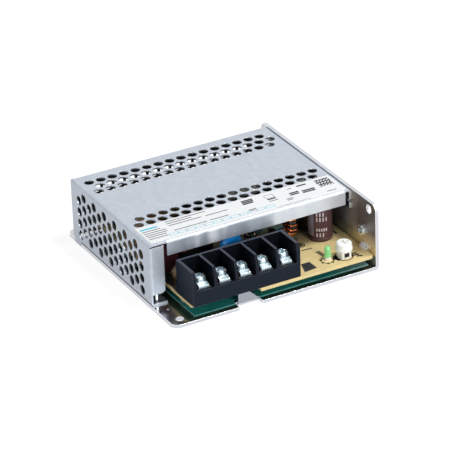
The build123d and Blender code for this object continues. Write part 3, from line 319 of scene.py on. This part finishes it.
def film():
    """Green sheet with pale edges, and a painted sheen that turns it paler and greyer towards the wall."""
    s = Surface("film", "2C8A83", 0.25, grain=0.8, spread=0.1, rough_spread=0.05, bump=0.006,
                edge=0.12, wear="8FC0BB", coat=0.3)
    # Painted sheen: paler and greyer towards the wall on the right
    s.link(s.mix(s.ranged(s.along("X"), 0, 0.6, 0.026, 0.046), s.colour, rgb("A9C0BF")), "Base Color")
    return s.mat


def block_plastic():
    """Dark moulded plastic, with painted shade that turns it near black inside the cells, and painted light
    on the upward faces of the rim and on the edges.
    """
    # Painted highlight: the paler edges of the block
    s = Surface("block", "141C28", 0.45, grain=0.25, bump=0.006, edge=0.25, wear="4A4A57", spread=0.1,
                specular=0.12)
    low, high = box_in_mm("terminal_housing")
    # Painted shade: near black inside the cells
    cells = s.within((low.x + 0.9, low.y + 1.0, 8.5), (high.x - 0.9, high.y - 0.3, high.z - 0.2))
    # Painted light: the upward faces at the top are paler
    painted_rim_light = s.math("MULTIPLY", s.above("Z", high.z - 0.15), s.facing("Z"))
    colour = s.mix(s.math("MULTIPLY", cells, 0.8), s.colour, rgb("04060A"))
    s.link(s.mix(s.math("MULTIPLY", painted_rim_light, 0.6), colour, rgb("4C525E")), "Base Color")
    return s.mat


def output_sleeve():
    """Maroon sleeve, darker on the can further in."""
    s = Surface("maroon_sleeve", "51343C", 0.32, grain=0.25, spread=0.06, bump=0.008, edge=0.1, coat=0.3)
    s.link(s.mix(s.ranged(s.along("Y"), 0, 0.85, -0.0168, -0.0158), s.colour, rgb("15141A")), "Base Color")
    return s.mat


def plastic(name, colour, rough=0.45, **options):
    """Plastic, print, paint or lacquer, with its own settings where given."""
    settings = dict(grain=0.25, spread=0.06, bump=0.008, edge=0.18)
    settings.update(options)
    return Surface(name, colour, rough, **settings).mat


def lamp_plastic():
    """Clear tinted plastic that glows faintly."""
    s = Surface("lamp_green", "86D08A", 0.2, grain=0.5, spread=0.05, bump=0.002, coat=0.3)
    s.bsdf.inputs["Transmission Weight"].default_value = 0.16
    s.bsdf.inputs["Emission Color"].default_value = rgb("9BE08F")
    s.bsdf.inputs["Emission Strength"].default_value = 0.16
    return s.mat


def wound(name, colour, pitch):
    """A block of turns, with a ridge for each wire round an upright leg."""
    s = Surface(name, colour, 0.28, 0.8, grain=0.4, spread=0.15, bump=0.003, coat=0.4)
    wave = s.nodes.new("ShaderNodeTexWave")
    wave.bands_direction = "Z"
    wave.inputs["Scale"].default_value = 1 / (pitch * MM) * math.pi / 10
    s.links.new(s.place, wave.inputs["Vector"])
    s.link(s.bump(wave.outputs["Fac"], pitch * 0.5, s.normal), "Normal")
    return s.mat


materials = {
    "galvanised": galvanised(),
    "bright_plate": bright_plate(),
    "nickel": nickel("nickel", "D5DBDF", 0.2, 1.0),
    "terminal_nickel": nickel("terminal_nickel", "BFD2DA", 0.22, 0.85),
    "tin": tin(),
    "copper": wire("copper", "DB7A3C"),
    # Copper wire coloured dark as painted shade, for the windings in shadow under the cover
    "painted_shade_wire": wire("painted_shade_wire", "5A3020"),
    "board": board(),
    "film": film(),
    "label": plastic("label", "EDEFF0", 0.38, bump=0.001, edge=0.0, spread=0.01, coat=0.2),
    "block": block_plastic(),
    "knob": plastic("knob", "F4F3F0", 0.4, spread=0.02, wear="FFFFFF"),
    "clear_white": plastic("clear_white", "ECECE8", 0.3, spread=0.03),
    "lamp": lamp_plastic(),
    "maroon_sleeve": output_sleeve(),
    "brown_sleeve": plastic("brown_sleeve", "A07E58", 0.3, coat=0.4, edge=0.1),
    "black_sleeve": plastic("black_sleeve", "1B1B1F", 0.3, coat=0.4, edge=0.1),
    "device": plastic("device", "15161A", 0.5, wear="3C3D42"),
    "pad": plastic("pad", "8D949C", 0.7),
    "maroon_box": plastic("maroon_box", "4E222C", 0.45, wear="8A4A4C"),
    "grey_box": plastic("grey_box", "C4C6C4", 0.45, wear="E4E6E6"),
    "blue_disc": plastic("blue_disc", "1489DC", 0.3, coat=0.2, edge=0.0),
    "ochre_disc": plastic("ochre_disc", "5E431D", 0.4, coat=0.3, edge=0.0),
    "ceramic": plastic("ceramic", "E4E1D6", 0.35, edge=0.0),
    "ferrite": plastic("ferrite", "1E2023", 0.6, bump=0.02, wear="3E4146"),
    "ring_green": plastic("ring_green", "12383A", 0.35, coat=0.3, wear="5C9A98"),
    "line_coil": wound("line_coil", "A8562A", 0.8),
    "tape": plastic("tape", "D2CFC4", 0.3, grain=0.8, bump=0.004, coat=0.4),
    "bobbin": plastic("bobbin", "17181B", 0.5),
    "resistor": plastic("resistor", "C2A878", 0.45, edge=0.0),
    "vent_metal": Surface("vent_metal", "C8CACC", 0.35, 1.0, grain=0.4, bump=0.003, edge=0.1).mat,
    "ink": plastic("ink", "1C1D20", 0.6, bump=0.002, edge=0.0),
    "grey_print": plastic("grey_print", "3E4147", 0.5, bump=0.002, edge=0.0),
    "cyan_print": plastic("cyan_print", "58C4DF", 0.5, bump=0.002, edge=0.0),
    "stripe_print": plastic("stripe_print", "86828F", 0.45, bump=0.002, edge=0.0),
    "pale_print": plastic("pale_print", "D6CBD2", 0.5, bump=0.002, edge=0.0),
    "silver_pad": Surface("silver_pad", "D8D8D2", 0.3, 1.0, grain=0.3, bump=0.004).mat,
}

worn_by = {
    "galvanised": ["cover"],
    "bright_plate": ["chassis", "board_standoffs"],
    "nickel": ["wall_bushes", "cover_screws", "board_screws", "device_screws"],
    "terminal_nickel": ["clamp_plates", "terminal_screws"],
    "tin": ["terminal_contacts", "lamp_leads", "wall_device_frames", "fuse_caps", "bridge_leads",
            "chip_pins"],
    "copper": ["output_choke_winding"],
    "painted_shade_wire": ["ring_choke_windings"],
    "board": ["circuit_board"],
    "film": ["insulating_film"],
    "label": ["top_label"],
    "block": ["terminal_housing"],
    "knob": ["trimmer_knob"],
    "clear_white": ["trimmer_base"],
    "lamp": ["status_lamp"],
    "maroon_sleeve": ["output_capacitors"],
    "brown_sleeve": ["bulk_capacitor"],
    "black_sleeve": ["small_capacitors"],
    "device": ["wall_device_bodies", "bridge_rectifier", "chips"],
    "pad": ["insulating_pads"],
    "maroon_box": ["line_capacitor"],
    "grey_box": ["film_capacitors"],
    "blue_disc": ["disc_capacitors"],
    "ochre_disc": ["varistor"],
    "ceramic": ["fuse_tube"],
    "ferrite": ["output_choke_core", "line_choke_core", "transformer_core"],
    "ring_green": ["ring_choke_core"],
    "line_coil": ["line_choke_windings"],
    "tape": ["transformer_winding"],
    "bobbin": ["transformer_bobbin"],
    "resistor": ["resistors"],
}

for name, wearers in worn_by.items():
    for wearer in wearers:
        mesh = nodes[wearer].data
        mesh.materials.clear()
        mesh.materials.append(materials[name])


# Helpers for added pieces; places and sizes are in mm

sharp_angle = math.radians(35)


def piece(name, bm, material, body="unit"):
    """Make an object of a bmesh, smooth but for its sharp edges, with its material and body."""
    bmesh.ops.recalc_face_normals(bm, faces=bm.faces)
    for face in bm.faces:
        face.smooth = True
    for edge in bm.edges:
        edge.smooth = edge.calc_face_angle(0.0) < sharp_angle
    mesh = bpy.data.meshes.new(name)
    bm.to_mesh(mesh)
    bm.free()
    obj = bpy.data.objects.new(name, mesh)
    bpy.context.scene.collection.objects.link(obj)
    mesh.materials.append(materials[material])
    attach(obj, body)
    return obj


def patch(bm, points, z, thick=0.02):
    """A thin prism over an outline, standing on a height."""
    low = [bm.verts.new((x * MM, y * MM, z * MM)) for x, y in points]
    high = [bm.verts.new((x * MM, y * MM, (z + thick) * MM)) for x, y in points]
    bm.faces.new(list(reversed(low)))
    bm.faces.new(high)
    count = len(points)
    for i in range(count):
        j = (i + 1) % count
        bm.faces.new([low[i], low[j], high[j], high[i]])


def bar(bm, start, end, wide, z):
    """A straight printed line between two places."""
    a, b = Vector(start), Vector(end)
    side = (b - a).normalized().orthogonal() * wide / 2
    patch(bm, [a + side, a - side, b - side, b + side][::-1], z)


def outline(bm, points, wide, z):
    """Printed lines along a closed outline."""
    for start, end in zip(points, points[1:] + points[:1]):
        bar(bm, start, end, wide, z)


def frame_of(left, front, right, rear):
    """The corners of a rectangle."""
    return [(left, front), (right, front), (right, rear), (left, rear)]


def circle(centre, radius, count=32, start=0.0):
    """Places round a circle."""
    places = []
    for i in range(count):
        a = math.radians(start + 360 * i / count)
        places.append((centre[0] + radius * math.cos(a), centre[1] + radius * math.sin(a)))
    return places


def cross(centre, reach, half, turn):
    """The twelve corners of a cross, turned by an angle."""
    places = []
    for arm in range(4):
        for along, aside in ((reach, -half), (reach, half), (half, half)):
            a = math.radians(turn + 90 * arm)
            places.append((centre[0] + along * math.cos(a) - aside * math.sin(a),
                           centre[1] + along * math.sin(a) + aside * math.cos(a)))
    return places


def wrap(bm, centre, radius, start, end, low, high, thick=0.03):
    """A thin curved patch on an upright round wall, between two angles and two heights."""
    count = max(1, round(abs(end - start) / 6))
    rows = []
    for i in range(count + 1):
        a = math.radians(start + (end - start) * i / count)
        row = []
        for r, z in ((radius, low), (radius + thick, low), (radius + thick, high), (radius, high)):
            place = Vector((centre[0] + r * math.cos(a), centre[1] + r * math.sin(a), z))
            row.append(bm.verts.new(place * MM))
        rows.append(row)
    for first, second in zip(rows, rows[1:]):
        for i in range(4):
            j = (i + 1) % 4
            bm.faces.new([first[i], second[i], second[j], first[j]])
    bm.faces.new(rows[0])
    bm.faces.new(rows[-1][::-1])


def lathe(bm, centre, profile, count=48):
    """A turned shape about an upright axis, from the radius and height of each step."""
    rows = []
    for r, z in profile:
        ring = circle(centre, r, count) if r else [tuple(centre[:2])]
        rows.append([bm.verts.new((x * MM, y * MM, z * MM)) for x, y in ring])
    for low, high in zip(rows, rows[1:]):
        for i in range(count):
            j = (i + 1) % count
            corners = [low[i % len(low)], low[j % len(low)], high[j % len(high)], high[i % len(high)]]
            corners = list(dict.fromkeys(corners))
            if len(corners) > 2:
                bm.faces.new(corners)


def tube(bm, points, radius, sides=8):
    """A round wire along places."""
    rings = []
    side = (points[1] - points[0]).orthogonal()
    last = len(points) - 1
    for i, place in enumerate(points):
        ahead = (points[min(i + 1, last)] - points[max(i - 1, 0)]).normalized()
        side = (side - ahead * side.dot(ahead)).normalized()
        up = ahead.cross(side)
        ring = []
        for k in range(sides):
            a = 2 * math.pi * k / sides
            ring.append(bm.verts.new((place + (side * math.cos(a) + up * math.sin(a)) * radius) * MM))
        rings.append(ring)
    for first, second in zip(rings, rings[1:]):
        for i in range(sides):
            j = (i + 1) % sides
            bm.faces.new([first[i], first[j], second[j], second[i]])
    bm.faces.new(rings[0][::-1])
    bm.faces.new(rings[-1])


def carved(obj, cutter):
    """Cut one object out of another, and take the cutter away."""
    modifier = obj.modifiers.new("cut", "BOOLEAN")
    modifier.operation = "DIFFERENCE"
    modifier.solver = "EXACT"
    modifier.object = cutter
    shape = bpy.data.meshes.new_from_object(obj.evaluated_get(bpy.context.evaluated_depsgraph_get()))
    obj.modifiers.clear()
    obj.data = shape
    bpy.data.objects.remove(cutter)


# Print on the label: plain bars for lines of text, thin boxes and a plain check

text_wide = 0.5
heavy_wide = 1.05
thin_line = 0.2

# Left end and depth of each bar from the label's rear left corner, and its length
label_text = [
    (1.0, 4.9, 8.4), (0.9, 6.7, 10.4), (0.9, 8.4, 10.2), (0.9, 10.0, 8.9), (0.9, 11.8, 8.6),
    (13.4, 1.4, 18.8), (13.4, 3.1, 11.5), (13.4, 5.0, 15.1), (30.5, 5.2, 10.4),
    (13.4, 9.7, 15.5), (30.2, 9.6, 8.8),
    (48.0, 10.4, 3.6), (48.0, 11.4, 2.6), (59.1, 8.2, 4.2), (66.2, 10.2, 3.4), (66.2, 11.3, 2.6),
    (70.8, 2.4, 2.0), (84.2, 13.0, 4.4),
]
label_heavy = [
    (48.8, 2.2, 5.4), (48.6, 3.5, 5.2), (48.4, 4.8, 5.0), (75.4, 2.2, 4.6), (69.6, 6.4, 4.4),
    (69.4, 7.8, 4.2), (75.2, 7.2, 6.2), (75.0, 8.6, 6.0), (59.2, 6.4, 4.0),
]
banner_place = (1.2, 1.9, 7.8, 2.0)
rule_start = (58.9, 0.65)
rule_long = 16.4
small_box_place = (59.3, 5.4, 63.2, 2.6)
box_count = 6
box_pitch = 8.2
box_left = 10.0
box_front = 2.1
box_deep = 1.8
check_place = (84.0, 1.6)
check_side = 6.6
check_cells = 9


def add_label_print():
    """Grey and dark bars, a check of small squares, and thin blue boxes."""
    low, high = box_in_mm("top_label")
    z = high.z
    text = bmesh.new()
    for left, down, wide in label_text:
        y = high.y - down
        bar(text, (low.x + left, y), (low.x + left + wide, y), text_wide, z)
    x, y = low.x + rule_start[0], low.y + rule_start[1]
    bar(text, (x, y), (x + rule_long, y), 0.22, z)
    left, down, right, top = small_box_place
    outline(text, frame_of(low.x + left, high.y - down, low.x + right, high.y - top), thin_line, z)
    piece("label_text", text, "grey_print")
    heavy = bmesh.new()
    for left, down, wide in label_heavy:
        y = high.y - down
        bar(heavy, (low.x + left, y), (low.x + left + wide, y), heavy_wide, z)
    left = low.x + check_place[0]
    rear = high.y - check_place[1]
    cell = check_side / check_cells
    for i in range(check_cells):
        for j in range(check_cells):
            if (i + j) % 2 == 0 or j % 3 == 0:
                x, y = left + i * cell, rear - j * cell
                patch(heavy, frame_of(x, y - cell, x + cell, y), z)
    piece("label_marks", heavy, "ink")
    cyan = bmesh.new()
    left, down, wide, deep = banner_place
    y = high.y - down - deep / 2
    bar(cyan, (low.x + left, y), (low.x + left + wide, y), deep * 0.6, z)
    front = low.y + box_front
    for i in range(box_count):
        x = low.x + box_left + i * box_pitch
        outline(cyan, frame_of(x, front, x + box_pitch, front + box_deep), thin_line, z)
        bar(cyan, (x + 3.6, front + 0.9), (x + 4.6, front + 0.9), 0.5, z)
    piece("label_boxes", cyan, "cyan_print")


# Print on the board; measured from the board's front right corner

board_box_place = (-32.1, 2.8, -25.5, 9.7)
led_ring_place = (-18.6, 6.9)
led_ring_radius = 2.9
trimmer_ring_radius = 3.7
# Painted shadow: left and right from the board's left edge, then front and rear, of a dark patch in the
# shade of the cover's left side
painted_shadow_place = (0.5, -33.2, 5.5, -8)

# Angles of the spots on both rings, the second with the radius of each spot
led_ring_spots = (-160, -112, -66, -15, 150)
trimmer_ring_spots = ((150, 1.0), (168, 1.1), (186, 1.0), (204, 0.8), (-20, 0.8), (12, 0.7))

# Both ends and the width of each bar
board_bars = [((-5.2, 2.8), (-3.9, 2.6), 0.9), ((-23.6, 20.0), (-18.7, 19.6), 0.7),
              ((-3.5, 28.5), (-3.1, 25.6), 1.1)]

# Middle of each pad, the radius and the width of the ring round it, and its own radius
board_pads = [((-21.5, 24.4), 1.8, 0.5, 1.2), ((-20.6, 30.2), 1.2, 0.3, 0.8)]


def add_board_print():
    """Dark print round the lamp, the trimmer and the pads, filled boxes beside the block, and a painted
    shadow along the board's left edge.
    """
    low, high = box_in_mm("circuit_board")
    corner = Vector((high.x, low.y))
    z = high.z

    def at(x, y):
        """A place measured from the board's front right corner."""
        return (corner.x + x, corner.y + y)

    ink = bmesh.new()
    left, front, right, rear = board_box_place
    box = [at(left + 0.3, front), at(right, front + 0.7), at(right - 0.2, rear - 0.1), at(left + 2.4, rear)]
    patch(ink, box, z)
    ring = at(*led_ring_place)
    outline(ink, circle(ring, led_ring_radius, 8, 22.5), 0.42, z)
    for angle in led_ring_spots:
        spot = circle(ring, led_ring_radius - 0.05, 1, angle)[0]
        patch(ink, circle(spot, 0.62, 10), z)
    knob = centre_of("trimmer_base")
    outline(ink, circle(knob, trimmer_ring_radius, 40), 0.55, z)
    for angle, size in trimmer_ring_spots:
        spot = circle(knob, trimmer_ring_radius, 1, angle)[0]
        patch(ink, circle(spot, size, 12), z)
    for i in range(4):
        place = at(-19.3 + 0.15 * i, 15.4 - 1.35 * i)
        bar(ink, place, (place[0] + 2.1, place[1] - 0.3), 1.05, z)
    for i in range(3):
        place = at(-6.9 + 0.25 * i, 6.4 - 1.5 * i)
        bar(ink, place, (place[0] + 2.0, place[1] - 0.25), 1.15, z)
    for start, end, wide in board_bars:
        bar(ink, at(*start), at(*end), wide, z)
    for place, ring_size, wide, _ in board_pads:
        outline(ink, circle(at(*place), ring_size, 20), wide, z)
    # Painted shadow: a dark patch along the board's left edge
    left, front, right, rear = painted_shadow_place
    patch(ink, frame_of(low.x + left, front, low.x + right, rear), z)
    piece("board_print_and_shadow", ink, "ink")
    pale = bmesh.new()
    inner = [Vector(p).lerp(Vector(box[0]).lerp(Vector(box[2]), 0.5), 0.36) for p in box]
    outline(pale, inner, 0.16, z + 0.02)
    bar(pale, inner[0].lerp(inner[3], 0.5), inner[1].lerp(inner[2], 0.5), 0.12, z + 0.02)
    piece("board_box_lines", pale, "grey_print")
    pads = bmesh.new()
    for place, _, _, radius in board_pads:
        patch(pads, circle(at(*place), radius, 20), z)
    piece("board_pads", pads, "silver_pad")


# Print and tops of the capacitors

# Angles round a can in degrees, and the foot, the height and the number of marks of each row
stripe_start = 152
stripe_end = 208
sleeve_rows = [(19.0, 1.7, 3), (16.6, 1.9, 4), (12.0, 1.3, 5), (9.4, 1.7, 3)]
sleeve_text_start = 222
sleeve_text_step = 15
sleeve_mark_turn = 6
vent_inset = 1.2


def add_sleeve_print():
    """A pale stripe and rows of plain marks on the output capacitor in front."""
    stripes = bmesh.new()
    marks = bmesh.new()
    centre, radius = output_cans[0]
    wrap(stripes, centre, radius, stripe_start, stripe_end, board_top + 2.6, can_top - 0.7)
    for z, tall, count in sleeve_rows:
        step = sleeve_text_step * (0.75 if count > 4 else 1.0)
        for i in range(count):
            a = sleeve_text_start + step * i
            wrap(marks, centre, radius, a, a + sleeve_mark_turn, z, z + tall)
    piece("sleeve_stripes", stripes, "stripe_print")
    piece("sleeve_marks", marks, "pale_print")


def add_can_tops():
    """Bare metal vents in the tops of the cans, scored across."""
    tops = bmesh.new()
    for centre, radius, top in cans:
        inner = radius - vent_inset
        lathe(tops, centre, [(inner, top), (inner, top + 0.05), (inner - 0.3, top + 0.12), (0, top + 0.12)])
    piece("can_tops", tops, "vent_metal")
    scores = bmesh.new()
    for centre, radius, top in cans:
        reach = (radius - vent_inset) * 0.7
        for angle in (45, 135):
            ends = circle(centre, reach, 2, angle)
            bar(scores, ends[0], ends[1], 0.3, top + 0.12)
    piece("can_scores", scores, "ink")


# Wire wound on the ring cores

loop_play = 0.06
ring_hole = 4.2
ring_wire = 0.9
ring_turns = 6
ring_step = 18
ring_droop = 25
coil_hole = 3.0
coil_wire = 0.8
coil_turns = 13
coil_step = 22.5
points_per_turn = 28
squareness = 0.45


def coil_path(outer, inner, wide, gauge, first, step, turns):
    """A wire wound round a ring that lies flat, and square round the ring's section."""
    reach = (outer - inner + gauge) / 2 + loop_play
    half = (wide + gauge) / 2 + loop_play
    middle = (outer + inner) / 2
    places = []
    for i in range(round(turns * points_per_turn) + 1):
        turn = i / points_per_turn
        a = math.radians(first + step * turn)
        c, s = math.cos(2 * math.pi * turn), math.sin(2 * math.pi * turn)
        r = middle + reach * math.copysign(abs(c) ** squareness, c)
        z = half * math.copysign(abs(s) ** squareness, s)
        places.append(Vector((r * math.cos(a), r * math.sin(a), z)))
    return places


def with_leads(places, hub):
    """A wound wire with both its ends led straight down into the board."""
    ends = []
    for end in (places[0], places[-1]):
        out = end + (end - hub).normalized() * 0.25
        ends.append(Vector((out.x, out.y, board_top)))
    return [ends[0]] + places + [ends[1]]


def add_windings():
    """Single turns of wire in place of the plain windings of both ring cores."""
    hub = centre_of("ring_choke_core")
    low, high = box_in_mm("ring_choke_core")
    outer, wide = (high.x - low.x) / 2, high.y - low.y
    bm = bmesh.new()
    span = ring_step * ring_turns
    for first in (-ring_droop - span / 2, 180 + ring_droop - span / 2):
        flat = coil_path(outer, ring_hole, wide, ring_wire, first, ring_step, ring_turns)
        stood = [hub + Vector((p.x, -p.z, p.y)) for p in flat]
        tube(bm, with_leads(stood, hub), ring_wire / 2)
    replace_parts(piece("ring_choke_wire", bm, "painted_shade_wire"), "ring_choke_windings")
    hub = centre_of("output_choke_core")
    low, high = box_in_mm("output_choke_core")
    outer, wide = (high.y - low.y) / 2, high.x - low.x
    bm = bmesh.new()
    first = -90 - coil_step * coil_turns / 2
    flat = coil_path(outer, coil_hole, wide, coil_wire, first, coil_step, coil_turns)
    stood = [hub + Vector((p.z, p.y, -p.x)) for p in flat]
    tube(bm, stood, coil_wire / 2)
    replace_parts(piece("output_choke_wire", bm, "copper"), "output_choke_winding")


# Terminal screws

screw_count = 5
screw_neck = 2.9
recess_wide = 1.0
recess_long = 4.2
recess_deep = 1.3
head_height = 2.2
head_side = 1.0
head_round = 1.1
first_recess_turn = 20
recess_turn_step = 13


def add_terminal_screws():
    """Domed heads with crossed recesses, each turned to its own angle."""
    low, high = box_in_mm("terminal_screws")
    seat = high.z - head_height
    radius = (high.y - low.y) / 2
    y = (low.y + high.y) / 2
    first = low.x + radius
    pitch = (high.x - low.x - 2 * radius) / (screw_count - 1)
    screws = bmesh.new()
    cutter = bmesh.new()
    for i in range(screw_count):
        centre = (first + i * pitch, y)
        dome = []
        for share in (0, 0.2, 0.4, 0.6, 0.8, 1.0):
            a = share * math.pi / 2
            dome.append((radius - head_round + head_round * math.cos(a),
                         seat + head_side + head_round * math.sin(a)))
        profile = [(0, low.z), (screw_neck / 2, low.z), (screw_neck / 2, seat), (radius, seat)]
        lathe(screws, centre, profile + dome + [(0, high.z)])
        turn = first_recess_turn + recess_turn_step * i
        patch(cutter, cross(centre, recess_long / 2, recess_wide / 2, turn), high.z - recess_deep, 2)
    obj = piece("terminal_screw_heads", screws, "terminal_nickel")
    bmesh.ops.recalc_face_normals(cutter, faces=cutter.faces)
    mesh = bpy.data.meshes.new("cutter")
    cutter.to_mesh(mesh)
    cutter.free()
    tool = bpy.data.objects.new("cutter", mesh)
    bpy.context.scene.collection.objects.link(tool)
    carved(obj, tool)
    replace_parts(obj, "terminal_screws")


# Small parts of the lamp and the trimmer

spacer_inner = 1.25
spacer_outer = 1.55
window_half = 1.15
window_foot = 0.62
window_tall = 1.95


def add_small_parts():
    """A spacer ring under the lamp and a dark inlay in the trimmer's window."""
    low, high = box_in_mm("status_lamp")
    lamp = (low + high) / 2
    bm = bmesh.new()
    section = frame_of(spacer_inner, board_top, spacer_outer, low.z)
    lathe(bm, lamp, section + section[:1])
    piece("lamp_spacer", bm, "clear_white")
    low, high = box_in_mm("trimmer_base")
    x, front = (low.x + high.x) / 2, low.y
    bm = bmesh.new()
    inlay = frame_of(x - window_half, front + 0.35, x + window_half, front + 0.8)
    patch(bm, inlay, low.z + window_foot, window_tall)
    piece("trimmer_window", bm, "ink")


# Top of the board, and the middle, the radius and the top of each can, in mm

board_top = box_in_mm("circuit_board")[1].z
can_low, can_high = box_in_mm("output_capacitors")
can_top = can_high.z
can_radius = 5.2
output_cans = [(Vector((can_low.x + can_radius, can_low.y + can_radius)), can_radius),
               (Vector((can_high.x - can_radius, can_high.y - can_radius)), can_radius)]
bulk_low, bulk_high = box_in_mm("bulk_capacitor")
cans = [(centre, radius, can_top) for centre, radius in output_cans]
cans.append((centre_of("bulk_capacitor"), (bulk_high.x - bulk_low.x) / 2, bulk_high.z))

add_label_print()
add_board_print()
add_sleeve_print()
add_can_tops()
add_windings()
add_terminal_screws()
add_small_parts()


# Camera, fitted to the photograph's frame; distances in mm

view_azimuth = math.radians(-27.690)
view_elevation = math.radians(27.533)
view_roll = math.radians(2.200)
view_aside = -1.718
view_up = -11.229
view_distance = 1315.704
focal_pixels = 3099.366
frame_pixels = 450
sensor = 36.0


def add_camera():
    """The fitted camera, rolled about its own axis."""
    a, e = view_azimuth, view_elevation
    back = Vector((math.sin(a) * math.cos(e), -math.cos(a) * math.cos(e), math.sin(e)))
    right = Vector((0, 0, 1)).cross(back).normalized()
    up = back.cross(right)
    c, s = math.cos(view_roll), math.sin(view_roll)
    right, up = c * right - s * up, s * right + c * up
    place = (view_distance * back - view_aside * right - view_up * up) * MM
    data = bpy.data.cameras.new("camera")
    data.sensor_width = sensor
    data.lens = focal_pixels * sensor / frame_pixels
    data.clip_start, data.clip_end = 0.01, 20
    camera = bpy.data.objects.new("camera", data)
    turn = Matrix((right, up, back)).transposed().to_4x4()
    camera.matrix_world = Matrix.Translation(place) @ turn
    bpy.context.scene.collection.objects.link(camera)
    bpy.context.scene.camera = camera


# Light and floor

world_light = 0.16
floor_shade = 0.26
floor_glow = 0.87
lamp_aim = (0, 0, 0.01)


def white_ray_mix(tree, lit, shown):
    """Show one shader to the camera and to mirror and clear rays, and light with the other."""
    path = tree.nodes.new("ShaderNodeLightPath")
    seen = path.outputs["Is Camera Ray"]
    for name in ("Is Glossy Ray", "Is Transmission Ray"):
        either = tree.nodes.new("ShaderNodeMath")
        either.operation = "MAXIMUM"
        tree.links.new(seen, either.inputs[0])
        tree.links.new(path.outputs[name], either.inputs[1])
        seen = either.outputs["Value"]
    mix = tree.nodes.new("ShaderNodeMixShader")
    tree.links.new(seen, mix.inputs["Fac"])
    tree.links.new(lit, mix.inputs[1])
    tree.links.new(shown, mix.inputs[2])
    return mix.outputs["Shader"]


def add_world():
    """Weak even light, with white behind everything."""
    world = bpy.data.worlds.new("studio")
    bpy.context.scene.world = world
    world.use_nodes = True
    tree = world.node_tree
    tree.nodes.clear()
    lit = tree.nodes.new("ShaderNodeBackground")
    lit.inputs["Color"].default_value = (0.93, 0.96, 1.0, 1.0)
    lit.inputs["Strength"].default_value = world_light
    shown = tree.nodes.new("ShaderNodeBackground")
    shown.inputs["Color"].default_value = (1, 1, 1, 1)
    shown.inputs["Strength"].default_value = 1.0
    out = tree.nodes.new("ShaderNodeOutputWorld")
    tree.links.new(white_ray_mix(tree, lit.outputs[0], shown.outputs[0]), out.inputs["Surface"])


def add_floor():
    """A white floor that keeps a faint shadow."""
    mat = bpy.data.materials.new("floor")
    mat.use_nodes = True
    tree = mat.node_tree
    tree.nodes.clear()
    lit = tree.nodes.new("ShaderNodeBsdfDiffuse")
    lit.inputs["Color"].default_value = (0.9, 0.9, 0.9, 1)
    faint = tree.nodes.new("ShaderNodeBsdfDiffuse")
    faint.inputs["Color"].default_value = (floor_shade, floor_shade, floor_shade, 1)
    white = tree.nodes.new("ShaderNodeEmission")
    white.inputs["Strength"].default_value = floor_glow
    shadowed = tree.nodes.new("ShaderNodeAddShader")
    tree.links.new(faint.outputs[0], shadowed.inputs[0])
    tree.links.new(white.outputs[0], shadowed.inputs[1])
    out = tree.nodes.new("ShaderNodeOutputMaterial")
    tree.links.new(white_ray_mix(tree, lit.outputs[0], shadowed.outputs[0]), out.inputs["Surface"])
    bm = bmesh.new()
    bmesh.ops.create_grid(bm, x_segments=1, y_segments=1, size=3.0)
    mesh = bpy.data.meshes.new("floor")
    bm.to_mesh(mesh)
    bm.free()
    mesh.materials.append(mat)
    floor = bpy.data.objects.new("floor", mesh)
    bpy.context.scene.collection.objects.link(floor)


def add_lamp(name, place, size, power):
    """A round soft lamp turned to the part, in metres and watts."""
    data = bpy.data.lights.new(name, "AREA")
    data.shape = "DISK"
    data.size = size
    data.energy = power
    lamp = bpy.data.objects.new(name, data)
    lamp.location = place
    lamp.rotation_mode = "QUATERNION"
    lamp.rotation_quaternion = (Vector(lamp_aim) - Vector(place)).to_track_quat("-Z", "Y")
    bpy.context.scene.collection.objects.link(lamp)


add_camera()
add_world()
add_floor()
add_lamp("key", (0.35, -0.3, 1.05), 0.35, 9.5)
add_lamp("fill", (0.1, -1.1, 0.45), 0.5, 5.6)
add_lamp("side", (-0.8, -0.45, 0.3), 0.25, 1.6)
bpy.context.scene.view_settings.view_transform = "Standard"
